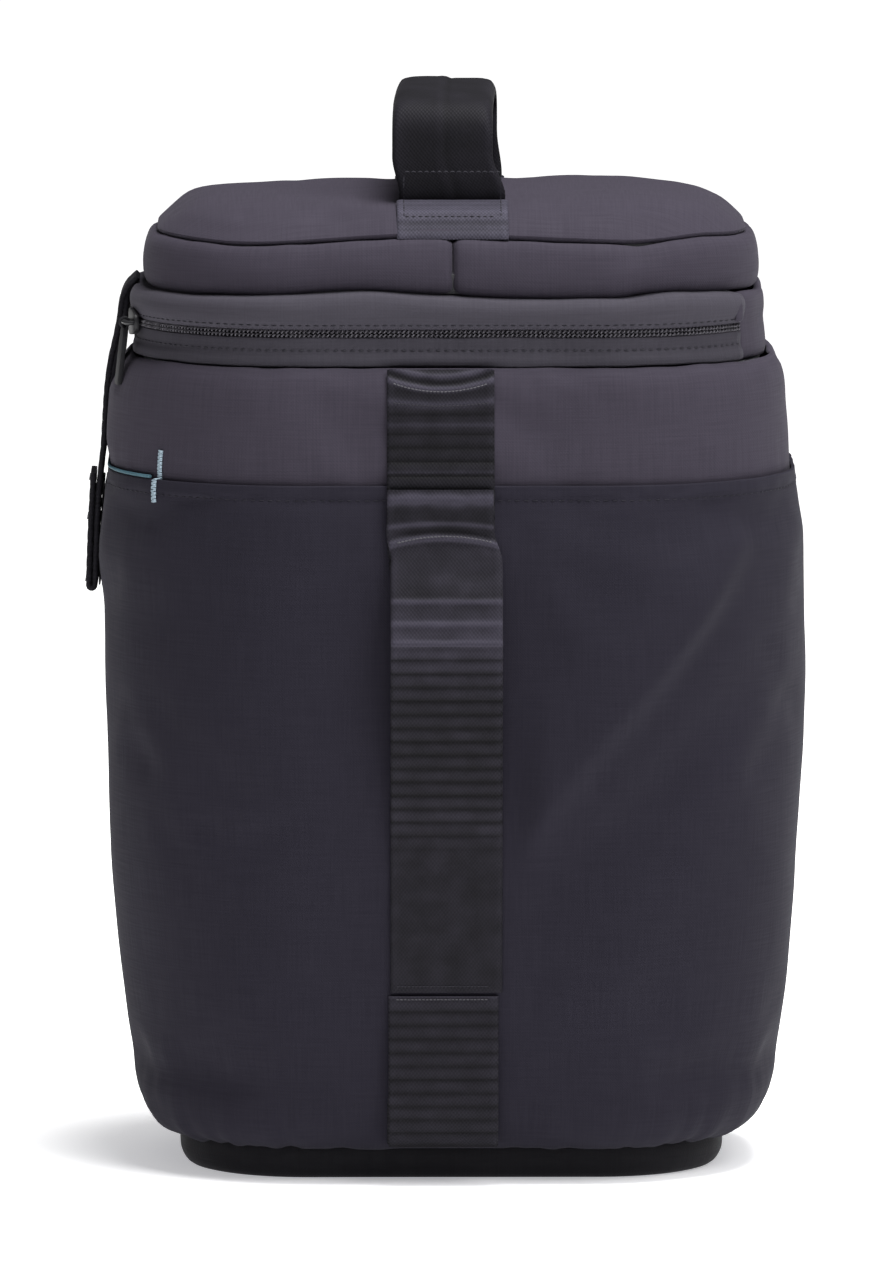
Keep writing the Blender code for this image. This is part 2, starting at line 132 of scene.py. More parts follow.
def fromFront(run):
    # Signed length along the cloth from the front's middle, to the right.
    return (run - frontMiddle + around / 2) % around - around / 2


def wallHalf(z):
    return wall["belly"] - wall["fall"] * (z - wall["bellyZ"]) ** 2


def skinHalf(z):
    # Half width of whichever skin is outermost at this height.
    if z < wall["rollTop"]:
        share = (wall["rollTop"] - z) / (wall["rollTop"] - wall["rollBottom"])
        start = wallHalf(wall["rollTop"])
        return wall["rollIn"] + (start - wall["rollIn"]) * math.sqrt(max(0.0, 1 - share ** 2))
    if z <= wall["seamZ"]:
        return wallHalf(z)
    if z <= wall["shoulderZ"]:
        return wallHalf(z) - wall["yokeInset"]
    share = (z - wall["shoulderZ"]) / (wall["shoulderTop"] - wall["shoulderZ"])
    start = wallHalf(wall["shoulderZ"]) - wall["yokeInset"]
    return wall["shoulderIn"] + (start - wall["shoulderIn"]) * math.sqrt(max(0.0, 1 - share ** 2))


def crownZ(inset):
    # Height of the lid's top this far in from its seam.
    return lid["seamZ"] + lid["crown"] * (1 - (1 - min(inset, lid["reach"]) / lid["reach"]) ** 5.4)


def smooth(value, low, high):
    share = min(1.0, max(0.0, (value - low) / (high - low)))
    return share * share * (3 - 2 * share)


def bump(value, middle, width):
    return math.exp(-((value - middle) / width) ** 2)


def ripple(x, y, scale, seed):
    return noise.noise(Vector((x / scale, y / scale, seed)))


def spread(low, high, step):
    count = max(1, round((high - low) / step))
    return [low + (high - low) * i / count for i in range(count + 1)]


def curveThrough(route, step):
    # Points a step apart on a smooth curve through the route's own points.
    route = [Vector(p) for p in route]
    padded = [route[0] * 2 - route[1], *route, route[-1] * 2 - route[-2]]
    fine = []
    for a, b, c, d in zip(padded, padded[1:], padded[2:], padded[3:]):
        for i in range(24):
            t = i / 24
            fine.append(0.5 * (2 * b + (c - a) * t + (2 * a - 5 * b + 4 * c - d) * t ** 2
                               + (3 * b - a - 3 * c + d) * t ** 3))
    fine.append(route[-1])
    lengths = [0.0]
    for a, b in zip(fine, fine[1:]):
        lengths.append(lengths[-1] + (b - a).length)
    points, i = [], 0
    for target in spread(0, lengths[-1], step):
        while i < len(lengths) - 2 and lengths[i + 1] < target:
            i += 1
        share = (target - lengths[i]) / max(1e-9, lengths[i + 1] - lengths[i])
        points.append(fine[i].lerp(fine[i + 1], min(1.0, share)))
    return points


def newObject(name, data):
    obj = bpy.data.objects.new(name, data)
    bpy.context.scene.collection.objects.link(obj)
    return obj


def meshOf(name, points, faces, marks=None, flat=35):
    mesh = bpy.data.meshes.new(name)
    mesh.from_pydata([Vector(p) * mm for p in points], [], faces)
    if marks:
        cloth = mesh.attributes.new("cloth", "FLOAT_VECTOR", "POINT")
        cloth.data.foreach_set("vector", [value for mark in marks for value in (*mark, 0.0)[:3]])
    mesh.shade_smooth()
    mesh.set_sharp_from_angle(angle=math.radians(flat))
    return newObject(name, mesh)


def sheetOf(name, profile, runs, shift=None):
    # Cloth through a profile of (half width, height), from its lower edge up, between two lengths round the bag.
    points, marks, along, last = [], [], 0.0, None
    for half, z in profile:
        here = Vector((half, z))
        along += (here - last).length if last else 0.0
        last = here
        for run in runs:
            lift = shift(run, z) if shift else 0.0
            points.append(onPlan(run, half, z + lift))
            marks.append((run, along + profile[0][1]))
    wide = len(runs)
    faces = [(row + i, row + i + 1, row + wide + i + 1, row + wide + i)
             for row in range(0, (len(profile) - 1) * wide, wide) for i in range(wide - 1)]
    return meshOf(name, points, faces, marks)


def curvedProfile(points, step):
    return [(p.x, p.y) for p in curveThrough([(*p, 0) for p in points], step)]


def addModifier(obj, kind, **settings):
    modifier = obj.modifiers.new(kind.lower(), kind)
    for name, value in settings.items():
        setattr(modifier, name, value)
    return modifier


def thicken(obj, thickness, offset=-1.0):
    return addModifier(obj, "SOLIDIFY", thickness=thickness * mm, offset=offset, use_even_offset=True,
                       use_quality_normals=True)


def applied(obj):
    # The object's mesh with its modifiers made real.
    graph = bpy.context.evaluated_depsgraph_get()
    mesh = bpy.data.meshes.new_from_object(obj.evaluated_get(graph))
    obj.modifiers.clear()
    obj.data = mesh
    return obj


def subdivided(obj, levels=1):
    addModifier(obj, "SUBSURF", levels=levels, render_levels=levels, boundary_smooth="PRESERVE_CORNERS")
    return applied(obj)


def pushOut(obj, amount):
    # Moves every point along its own normal by amount(run, height, place).
    mesh = obj.data
    normals = [vert.normal.copy() for vert in mesh.vertices]
    cloth = mesh.attributes.get("cloth")
    for index, (vert, normal) in enumerate(zip(mesh.vertices, normals)):
        run, rise = cloth.data[index].vector[:2] if cloth else (0.0, 0.0)
        vert.co += normal * amount(run, rise, vert.co / mm) * mm
    mesh.update()
    return obj


plumping = {"quality": 5, "mass": 0.25, "stiff": 14, "shear": 6, "frames": 18}    # shared by every padded cover


def plump(obj, sim, pinned):
    # Fills a sewn cover: cloth with air behind it, held where pinned(run, height, place) is 1.
    sim = {**plumping, **sim}
    scene = bpy.context.scene
    mesh = obj.data
    group = obj.vertex_groups.new(name="held")
    cloth = mesh.attributes.get("cloth")
    for vert in mesh.vertices:
        run, rise = cloth.data[vert.index].vector[:2]
        group.add([vert.index], min(1.0, max(0.0, pinned(run, rise, vert.co / mm))), "REPLACE")
    modifier = obj.modifiers.new("cloth", "CLOTH")
    settings = modifier.settings
    settings.quality = sim["quality"]
    settings.mass = sim["mass"]
    settings.tension_stiffness = settings.compression_stiffness = sim["stiff"]
    settings.shear_stiffness = sim["shear"]
    settings.bending_stiffness = sim["bend"]
    settings.air_damping = 2
    settings.use_pressure = True
    settings.uniform_pressure_force = sim["pressure"]
    settings.vertex_group_mass = "held"
    settings.pin_stiffness = 1
    settings.shrink_min = -sim["spare"]
    settings.effector_weights.gravity = 0
    modifier.point_cache.frame_start, modifier.point_cache.frame_end = 1, sim["frames"]
    for step in range(1, sim["frames"] + 1):
        scene.frame_set(step)
    graph = bpy.context.evaluated_depsgraph_get()
    settled = obj.evaluated_get(graph)
    rest = [vert.co.copy() for vert in mesh.vertices]
    moved = [vert.co.copy() for vert in settled.data.vertices]
    obj.modifiers.clear()
    scene.frame_set(1)
    limit = sim["cap"] * mm
    widest = 0.0
    for vert, old, new in zip(mesh.vertices, rest, moved):
        step = new - old
        widest = max(widest, step.length)
        vert.co = old + step * (limit * math.tanh(step.length / limit) / step.length if step.length > 1e-9 else 0)
    mesh.update()
    obj.vertex_groups.clear()
    print(f"{obj.name}: plumped, {widest / mm:.1f} mm at most before the cap")


def surfaceOf(*objects):
    # What a finger would touch on these pieces, to lay stitches and tape on.
    graph = bpy.context.evaluated_depsgraph_get()
    points, faces = [], []
    for obj in objects:
        mesh = obj.evaluated_get(graph).to_mesh()
        start = len(points)
        points += [obj.matrix_world @ v.co for v in mesh.vertices]
        faces += [[start + i for i in face.vertices] for face in mesh.polygons]
        obj.evaluated_get(graph).to_mesh_clear()
    return BVHTree.FromPolygons(points, faces)


def settled(tree, point, direction, lift=0.0):
    # Where a point dropped along a direction lands, and the surface's normal there.
    direction = Vector(direction).normalized()
    place, normal, _, _ = tree.ray_cast(Vector(point) * mm - direction * 30 * mm, direction)
    if place is None:
        return Vector(point), -direction
    if normal.dot(direction) > 0:
        normal = -normal
    return place / mm + normal * lift, normal


def tubeOf(name, path, radius, sides=6, closed=False, squash=1.0, marks=True):
    # A round bar, piping or thread along a path, with closed ends.
    points, faces, cloth, along = [], [], [], 0.0
    count = len(path)
    sideways = None
    for i, here in enumerate(path):
        ahead = path[(i + 1) % count] if closed else path[min(i + 1, count - 1)]
        behind = path[i - 1] if closed else path[max(i - 1, 0)]
        tangent = (ahead - behind).normalized()
        if sideways is None:
            sideways = tangent.orthogonal().normalized()
        sideways = (sideways - tangent * sideways.dot(tangent)).normalized()
        upright = tangent.cross(sideways)
        along += (here - path[i - 1]).length if i else 0.0
        size = radius(i / max(1, count - 1)) if callable(radius) else radius
        for k in range(sides):
            turn = 2 * math.pi * k / sides
            points.append(here + sideways * size * math.cos(turn) + upright * size * squash * math.sin(turn))
            cloth.append((size * turn, along))
    rings = count if closed else count - 1
    for i in range(rings):
        a, b = i * sides, (i + 1) % count * sides
        faces += [(a + k, a + (k + 1) % sides, b + (k + 1) % sides, b + k) for k in range(sides)]
    if not closed:
        faces += [tuple(reversed(range(sides))), tuple(range((count - 1) * sides, count * sides))]
    return meshOf(name, points, faces, cloth if marks else None, flat=60)


def strapOf(name, path, sideways, width, thickness, relief=None, step=0.55, lean=None, paintedLight=None):
    # Woven strap swept along a path; relief(share across, length, height, face) raises or sinks a face,
    # and the last function, given (share, height), paints light and shade into its colour there: painted highlights on
    # folds and painted shade in hollows.
    path = curveThrough(path, step)
    sideways = Vector(sideways).normalized()
    shares = [-1, -0.985, -0.95, -0.9, -0.84]
    shares += [-0.72 + 0.09 * i for i in range(17)]
    shares += [0.84, 0.9, 0.95, 0.985, 1]
    wide = len(shares)
    points, marks, faces, along = [], [], [], 0.0
    for i, here in enumerate(path):
        tangent = (path[min(i + 1, len(path) - 1)] - path[max(i - 1, 0)]).normalized()
        normal = tangent.cross(sideways).normalized()
        along += (here - path[i - 1]).length if i else 0.0
        half = (width(along, here.z) if callable(width) else width) / 2
        drift = lean(along, here.z) if lean else 0.0
        for face in (1, -1):
            for share in shares if face > 0 else shares[-2:0:-1]:
                edge = math.sqrt(max(0.0, 1 - abs(share) ** 26))
                raised = relief(share, along, here.z, face) if relief else 0.0
                height = thickness / 2 * edge + raised * edge ** 0.5
                points.append(here + sideways * (share * half + drift) + normal * height * face)
                # The third mark is the relief height plus the painted light; the webbing finish makes it paler on
                # raised parts and darker in hollows: painted highlight and painted shade.
                marks.append((share * half, along, raised + (paintedLight(share, here.z) if paintedLight else 0.0)))
    ring = 2 * wide - 2
    for i in range(len(path) - 1):
        a, b = i * ring, (i + 1) * ring
        faces += [(a + k, b + k, b + (k + 1) % ring, a + (k + 1) % ring) for k in range(ring)]
    last = (len(path) - 1) * ring
    faces.append(tuple(range(ring)))
    faces.append(tuple(reversed(range(last, last + ring))))
    return meshOf(name, points, faces, marks, flat=70)


def turnedCopy(obj, name):
    # The same piece on the back: turned half round the upright axis.
    mesh = obj.data.copy()
    copy = newObject(name, mesh)
    for vert in mesh.vertices:
        vert.co.x, vert.co.y = -vert.co.x, -vert.co.y
    mesh.update()
    for modifier in obj.modifiers:
        if modifier.type == "SOLIDIFY":
            thicken(copy, modifier.thickness / mm, modifier.offset)
    return copy


def joinedMesh(name, objects):
    # Several small meshes as one piece.
    form = bmesh.new()
    for obj in objects:
        form.from_mesh(obj.data)
        bpy.data.objects.remove(obj)
    mesh = bpy.data.meshes.new(name)
    form.to_mesh(mesh)
    form.free()
    mesh.shade_smooth()
    return newObject(name, mesh)


def stitches(name, path, pitch=3.2, length=2.3, radius=0.26, proud=0.12):
    # A row of thread stitches along a path of (place, normal), each a short thread that dips in at both ends.
    places = [p for p, _ in path]
    lengths = [0.0]
    for a, b in zip(places, places[1:]):
        lengths.append(lengths[-1] + (b - a).length)
    points, faces, marks = [], [], []
    rings, sides = 5, 5
    count = int(lengths[-1] / pitch)
    i = 0
    for stitch in range(count):
        middle = (stitch + 0.5) * pitch
        start = len(points)
        for ring in range(rings):
            share = ring / (rings - 1)
            target = middle + (share - 0.5) * length
            while i < len(lengths) - 2 and lengths[i + 1] < target:
                i += 1
            while i > 0 and lengths[i] > target:
                i -= 1
            t = (target - lengths[i]) / max(1e-9, lengths[i + 1] - lengths[i])
            place = places[i].lerp(places[i + 1], t)
            normal = path[i][1].lerp(path[i + 1][1], t).normalized()
            tangent = (places[i + 1] - places[i]).normalized()
            side = normal.cross(tangent).normalized()
            bow = math.sin(math.pi * share)
            size = radius * (0.55 + 0.45 * bow)
            centre = place + normal * (proud * bow - radius * 0.8 * (1 - bow))
            for k in range(sides):
                turn = 2 * math.pi * k / sides
                points.append(centre + side * size * math.cos(turn) + normal * size * math.sin(turn))
                marks.append((target, turn))
        for ring in range(rings - 1):
            a = start + ring * sides
            faces += [(a + k, a + sides + k, a + sides + (k + 1) % sides, a + (k + 1) % sides) for k in range(sides)]
        faces.append(tuple(start + k for k in range(sides)))
        faces.append(tuple(start + (rings - 1) * sides + k for k in reversed(range(sides))))
    return meshOf(name, points, faces, marks, flat=80)


def laidOn(tree, drops, direction):
    return [settled(tree, drop, direction, 0.05) for drop in drops]


def wear(obj, finish):
    obj.data.materials.clear()
    obj.data.materials.append(finish)
    return obj


def stand(obj, body, finish, slot, *nodes):
    # The piece gets its finish, rides on its body and stands for its CAD nodes.
    wear(obj, finish)
    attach(obj, body)
    if nodes:
        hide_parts(*nodes)
    return obj


class Wire:
    # One socket of a material. Sums, differences, products and powers of wires add Math nodes.
    def __init__(self, tree, socket):
        self.tree = tree
        self.socket = socket

    def node(self, kind, settings=None, inputs=None, output=0):
        made = self.tree.nodes.new(kind)
        for name, value in (settings or {}).items():
            if name == "stops":
                ramp = made.color_ramp
                while len(ramp.elements) < len(value):
                    ramp.elements.new(1.0)
                for element, (place, colour) in zip(ramp.elements, value):
                    element.position = place
                    element.color = (colour, colour, colour, 1) if isinstance(colour, float) else (*colour, 1)
            else:
                setattr(made, name, value)
        for name, value in (inputs or {}).items():
            if isinstance(value, Wire):
                self.tree.links.new(value.socket, made.inputs[name])
            elif isinstance(value, tuple) and len(value) == 3 and made.inputs[name].type == "RGBA":
                made.inputs[name].default_value = (*value, 1)
            else:
                made.inputs[name].default_value = value
        return Wire(self.tree, made.outputs[output])

    def sum(self, operation, first, second):
        return self.node("ShaderNodeMath", {"operation": operation}, {0: first, 1: second})

    def __add__(self, other):
        return self.sum("ADD", self, other)

    def __radd__(self, other):
        return self.sum("ADD", other, self)

    def __sub__(self, other):
        return self.sum("SUBTRACT", self, other)

    def __rsub__(self, other):
        return self.sum("SUBTRACT", other, self)

    def __mul__(self, other):
        return self.sum("MULTIPLY", self, other)

    def __rmul__(self, other):
        return self.sum("MULTIPLY", other, self)

    def __pow__(self, other):
        return self.sum("POWER", self, other)

    def wave(self, pitch):
        # From 0 to 1 and back once every pitch.
        return self.node("ShaderNodeMath", {"operation": "SINE"}, {0: self * (2 * math.pi / pitch)}) * 0.5 + 0.5

    def mixed(self, first, second):
        # From the first colour to the second, by this value.
        return self.node("ShaderNodeMix", {"data_type": "RGBA"}, {0: self, 6: first, 7: second}, 2)

    def between(self, low, high):
        return self.node("ShaderNodeMapRange", {"interpolation_type": "SMOOTHSTEP"},
                         {0: self, 1: low, 2: high})


def newFinish(name):
    # A material with an empty Principled shader, and the wire that its nodes hang from.
    material = bpy.data.materials.new(name)
    material.use_nodes = True
    shader = material.node_tree.nodes["Principled BSDF"]
    return material, shader, Wire(material.node_tree, None)


def feed(shader, name, wire):
    wire.tree.links.new(wire.socket, shader.inputs[name])


def bumped(shader, wire, strength, deep, height):
    feed(shader, "Normal", wire.node("ShaderNodeBump", None, {
        "Strength": strength, "Distance": deep * mm, "Height": height}))


def allOver(shader, **sockets):
    # What is the same all over the surface.
    names = {"sheen": "Sheen Weight", "sheenRough": "Sheen Roughness", "sheenTint": "Sheen Tint",
             "gloss": "Specular IOR Level", "metal": "Metallic"}
    for name, value in sockets.items():
        shader.inputs[names[name]].default_value = (*value, 1) if isinstance(value, tuple) else value


def clothMarks(wire):
    # Lengths in millimetres along the cloth: round the bag, and up it.
    marks = wire.node("ShaderNodeAttribute", {"attribute_name": "cloth"}, None, 1)
    parts = wire.node("ShaderNodeSeparateXYZ", None, {0: marks})
    return parts, Wire(wire.tree, parts.socket.node.outputs[1]), marks


def grain(wire, where, scale, detail=2.0, stretch=(1, 1, 1)):
    # Noise from 0 to 1 over a place vector, stretched.
    place = wire.node("ShaderNodeVectorMath", {"operation": "MULTIPLY"}, {0: where, 1: Vector(stretch)})
    return wire.node("ShaderNodeTexNoise", None, {"Vector": place, "Scale": scale, "Detail": detail})


def shade(colour, factor):
    return tuple(min(1.0, c * factor) for c in colour)


def wovenCloth(name, look):
    # Plain-woven cloth: crossed yarns, slubs, and tone that drifts over a hand's breadth.
    material, shader, wire = newFinish(name)
    run, rise, marks = clothMarks(wire)
    pitch = look["pitch"]
    yarns = run.wave(pitch) * rise.wave(pitch) + (1 - run.wave(pitch)) * (1 - rise.wave(pitch))
    weft = grain(wire, marks, 1.0, 3.0, (0.05, 1.7, 1))
    warp = grain(wire, marks, 1.0, 3.0, (1.7, 0.05, 1))
    drift = grain(wire, marks, 1.0, 4.0, (0.02, 0.026, 1))
    slubs = (weft * 0.5 + warp * 0.5).between(0.34, 0.66)
    tone = slubs * look["slub"] + drift * look["drift"] + yarns * 0.12
    tone = tone.between(0.0, look["slub"] + look["drift"] + 0.12)
    colour = tone.mixed(shade(look["colour"], look["low"]), shade(look["colour"], look["high"]))
    feed(shader, "Base Color", colour)
    feed(shader, "Roughness", look["rough"] + (1 - slubs) * 0.12)
    bumped(shader, wire, look["relief"], 0.12, yarns * 0.55 + slubs * 0.45)
    allOver(shader, sheen=look["sheen"], sheenRough=0.45, sheenTint=look["sheenTint"], gloss=0.12)
    return material


clothLook = {"pitch": 0.9, "slub": 0.5, "drift": 0.6, "low": 0.91, "high": 1.10, "rough": 0.78, "relief": 0.35,
             "sheen": 0.03, "sheenTint": (0.78, 0.76, 0.86)}
sleeveCloth = wovenCloth("sleeveCloth", {**clothLook, "colour": (0.0126, 0.0112, 0.0180)})
yokeCloth = wovenCloth("yokeCloth", {**clothLook, "colour": (0.0318, 0.0274, 0.0388), "pitch": 1.1, "slub": 0.8})
bandCloth = wovenCloth("bandCloth", {**clothLook, "colour": (0.0400, 0.0368, 0.0470), "pitch": 1.3, "slub": 0.8})
# The band's cloth at four fifths of its brightness, for the lower zip tape: painted shade.
tapeCloth = wovenCloth("tapeCloth", {**clothLook, "colour": (0.0320, 0.0296, 0.0378), "pitch": 1.3, "slub": 0.8})
bootCloth = wovenCloth("bootCloth", {**clothLook, "colour": (0.0046, 0.0042, 0.0058), "pitch": 1.6, "rough": 0.6,
                                     "relief": 0.6, "sheen": 0.04})


def webbingFinish(name, colour):
    # Heavy woven webbing: cords along its length, ribs across, random paler rubbed patches, and painted highlights on
    # raised folds and cords with painted shade in hollows.
    material, shader, wire = newFinish(name)
    across, along, marks = clothMarks(wire)
    cords = across.wave(1.25)
    ribs = along.wave(1.55)
    fuzz = grain(wire, marks, 1.0, 4.0, (1.4, 0.35, 1))
    rubbed = grain(wire, marks, 1.0, 3.0, (0.10, 0.16, 1)).between(0.45, 0.8)
    yarns = cords * ribs + (1 - cords) * (1 - ribs)
    # Relief height plus painted light from the strap's third mark: paler where raised, darker in hollows, a painted
    # highlight and painted shade.
    crest = wire.node("ShaderNodeSeparateXYZ", None, {0: marks}, 2).between(-1.3, 2.2)
    tone = (yarns * 0.12 + fuzz * 0.14 + rubbed * 0.06 + crest * 0.7) ** 1.8
    feed(shader, "Base Color", tone.mixed(shade(colour, 0.3), shade(colour, 10)))
    feed(shader, "Roughness", 0.62 + (1 - yarns) * 0.2)
    bumped(shader, wire, 0.7, 0.18, yarns * 0.7 + fuzz * 0.3)
    allOver(shader, sheen=0.01, sheenRough=0.5, gloss=0.12)
    return material


webbing = webbingFinish("webbing", (0.0043, 0.0039, 0.0056))
handleWebbing = webbingFinish("handleWebbing", (0.0030, 0.0027, 0.0040))
anchorWebbing = webbingFinish("anchorWebbing", (0.0160, 0.0148, 0.0210))


def threadFinish(name, colour, rough=0.55):
    # Twisted sewing thread.
    material, shader, wire = newFinish(name)
    along, turn, marks = clothMarks(wire)
    twist = (along + turn * 0.35).wave(0.7)
    tone = twist * 0.7 + grain(wire, marks, 1.0, 2.0, (0.4, 0.4, 1)) * 0.3
    feed(shader, "Base Color", tone.mixed(shade(colour, 0.7), shade(colour, 1.3)))
    feed(shader, "Roughness", rough + twist * 0.15)
    bumped(shader, wire, 0.5, 0.08, twist)
    allOver(shader, gloss=0.15)
    return material


hemThread = threadFinish("hemThread", (0.0125, 0.0115, 0.0165))
darkThread = threadFinish("darkThread", (0.022, 0.021, 0.027))
greyThread = threadFinish("greyThread", (0.075, 0.073, 0.082))
blueThread = threadFinish("blueThread", (0.29, 0.37, 0.43))
bindingThread = threadFinish("bindingThread", (0.055, 0.115, 0.145))


def mouldedFinish(name, look):
    # Moulded or cast pieces: an uneven skin with fine pits, paler where handling rubs it.
    material, shader, wire = newFinish(name)
    place = wire.node("ShaderNodeTexCoord", None, None, 3)
    pits = grain(wire, place, look["scale"], 3.0)
    cloud = grain(wire, place, look["scale"] / 30, 2.0).between(0.3, 0.7)
    feed(shader, "Base Color", (pits * 0.5 + cloud * 0.5).mixed(
        shade(look["colour"], 0.8), shade(look["colour"], 1.25)))
    feed(shader, "Roughness", look["rough"] + cloud * 0.15)
    bumped(shader, wire, look["relief"], look.get("deep", 0.05), pits)
    allOver(shader, metal=0.0, gloss=look.get("gloss", 0.5))
    return material


coilPlastic = mouldedFinish("coilPlastic", {"colour": (0.068, 0.064, 0.075), "rough": 0.5, "relief": 0.1,
                                            "scale": 3000, "gloss": 0.3})
sliderMetal = mouldedFinish("sliderMetal", {"colour": (0.012, 0.012, 0.014), "rough": 0.4, "relief": 0.12,
                                            "scale": 2500, "gloss": 0.35})
pullerPlastic = mouldedFinish("pullerPlastic", {"colour": (0.009, 0.009, 0.011), "rough": 0.6, "relief": 0.4,
                                                "scale": 2200, "gloss": 0.2})
boardPlastic = mouldedFinish("boardPlastic", {"colour": (0.03, 0.03, 0.03), "rough": 0.5, "relief": 0.3, "scale": 900})
foamCells = mouldedFinish("foamCells", {"colour": (0.035, 0.035, 0.038), "rough": 0.85, "relief": 0.9, "scale": 1400,
                                        "deep": 0.4, "gloss": 0.2})
hookTape = mouldedFinish("hookTape", {"colour": (0.013, 0.013, 0.015), "rough": 0.85, "relief": 1.0, "scale": 1800,
                                      "deep": 0.5, "gloss": 0.2})


def filmFinish(name, colour):
    # Wipe-clean lining film: soft gloss, creased, with a faint pressed grid.
    material, shader, wire = newFinish(name)
    run, rise, marks = clothMarks(wire)
    grid = (run.wave(2.4) ** 8.0 + rise.wave(2.4) ** 8.0) * 0.5
    creases = grain(wire, marks, 1.0, 5.0, (0.09, 0.09, 1))
    feed(shader, "Base Color", (creases * 0.7 + grid * 0.3).mixed(shade(colour, 0.86), shade(colour, 1.1)))
    feed(shader, "Roughness", 0.32 + creases * 0.2)
    bumped(shader, wire, 0.5, 0.4, creases * 0.8 + grid * 0.2)
    allOver(shader, gloss=0.5)
    return material


liningFilm = filmFinish("liningFilm", (0.42, 0.44, 0.46))
print("finishes made")


view = {
    "aim": Vector((-1.7, 0, 178.7)), "elevation": 6.5, "yaw": -0.5, "distance": 5000.0,
    "frameHigh": 441.6, "sensor": 36.0,
}
up = math.radians(view["elevation"])
aside = math.radians(view["yaw"])
towards = Vector((math.sin(aside) * math.cos(up), -math.cos(aside) * math.cos(up), math.sin(up)))
cameraData = bpy.data.cameras.new("camera")
camera = newObject("camera", cameraData)
camera.location = (view["aim"] + towards * view["distance"]) * mm
camera.rotation_euler = (-towards).to_track_quat("-Z", "Y").to_euler()
cameraData.sensor_width = view["sensor"]
cameraData.lens = view["sensor"] * view["distance"] / view["frameHigh"]
cameraData.clip_start, cameraData.clip_end = 0.1, 50
bpy.context.scene.camera = camera
bpy.context.scene.view_settings.view_transform = "Standard"

studio = {
    "sky": 0.13, "backdrop": 1.0,
    "key": {"at": (1250, -1250, 1900), "size": 1300, "power": 33},
    "top": {"at": (250, -250, 1900), "size": 900, "power": 54},
    "fill": {"at": (-1500, -1500, 700), "size": 900, "power": 1},
}
for name in ("key", "top", "fill"):
    lamp = studio[name]
    light = bpy.data.lights.new(name, "AREA")
    light.shape = "DISK"
    light.size = lamp["size"] * mm
    light.energy = lamp["power"]
    obj = newObject(name, light)
    obj.location = Vector(lamp["at"]) * mm
    obj.rotation_euler = (Vector((0, 0, 170)) * mm - obj.location).to_track_quat("-Z", "Y").to_euler()

world = bpy.data.worlds.new("studio")
world.use_nodes = True
bpy.context.scene.world = world
sky = world.node_tree.nodes["Background"]
seen = world.node_tree.nodes.new("ShaderNodeLightPath")
strength = world.node_tree.nodes.new("ShaderNodeMapRange")
strength.inputs[3].default_value = studio["sky"]
strength.inputs[4].default_value = studio["backdrop"]
world.node_tree.links.new(seen.outputs["Is Camera Ray"], strength.inputs[0])
world.node_tree.links.new(strength.outputs[0], sky.inputs["Strength"])
sky.inputs["Color"].default_value = (1, 1, 1, 1)

floorSize = 9000
floor = meshOf("floor", [(-floorSize, -floorSize, 0), (floorSize, -floorSize, 0), (floorSize, floorSize, 0),
                         (-floorSize, floorSize, 0)], [(0, 1, 2, 3)])
floorPaint, floorShader, floorWire = newFinish("floorPaint")
floorTone = floorWire.node("ShaderNodeTexNoise", None, {"Scale": 3.0}).mixed((0.86, 0.86, 0.86), (0.88, 0.88, 0.88))
feed(floorShader, "Base Color", floorTone)
floorShader.inputs["Roughness"].default_value = 0.9
# It glows like a lit backdrop, and glows less within about a quarter metre of the middle: a painted soft shadow under
# the bag.
floorPlace = floorWire.node("ShaderNodeTexCoord", None, None, 3)
fromMiddle = floorWire.node("ShaderNodeVectorMath", {"operation": "LENGTH"}, {0: floorPlace}, 1)
feed(floorShader, "Emission Color", fromMiddle.between(0.05, 0.24).mixed((0.36, 0.36, 0.38), (1, 1, 1)))
floorShader.inputs["Emission Strength"].default_value = 0.92
floor.data.materials.append(floorPaint)


sleeve = {
    "cloth": 1.2, "grid": 5.0, "hem": 5.0,
    "sim": {"pressure": 1.6, "cap": 2.4, "spare": 0.012, "bend": 0.8},
    # Soft folds on the front: from (x, z) to (x, z), width above and below the crest, height.
    "folds": (
        ((10, 104), (98, 224), 20, 7, 7.4),
        ((28, 92), (108, 182), 9, 16, -2.4),
        ((22, 222), (52, 176), 9, 9, 1.1),
        ((30, 226), (84, 204), 8, 8, 0.8),
        ((16, 62), (34, 78), 8, 9, -1.4),
        ((-100, 150), (-40, 206), 16, 12, 0.8),
        ((24, 60), (70, 78), 9, 7, 0.7),
        ((-92, 64), (-30, 46), 9, 8, 0.7),
    ),
}


def foldHeight(u, z, fold):
    # A soft ridge along a line, wider on its upper side, that dies away at both ends.
    (x0, z0), (x1, z1), wideUp, wideDown, height = fold
    along = Vector((x1 - x0, z1 - z0))
    length = along.length
    along /= length
    offset = Vector((u - x0, z - z0))
    share = offset.dot(along) / length
    aside = along.x * offset.y - along.y * offset.x
    fade = smooth(share, -0.12, 0.25) * (1 - smooth(share, 0.72, 1.12))
    return height * fade * math.exp(-(aside / (wideUp if aside > 0 else wideDown)) ** 2)


def underWebbing(run, clear=19.0, soft=14.0):
    # 0 under the webbing on the front and the back, 1 away from it.
    front = abs(fromFront(run))
    back = abs((run - backMiddle + around / 2) % around - around / 2)
    return smooth(min(front, back), clear, clear + soft)


def leftDraw(run, z):
    # The left wall is drawn in below the closure's tab.
    return -2.7 * bump(run, leftMiddle, 95) * smooth(-z, -212, -190) * smooth(z, wall["rollBottom"] - 8, 30)


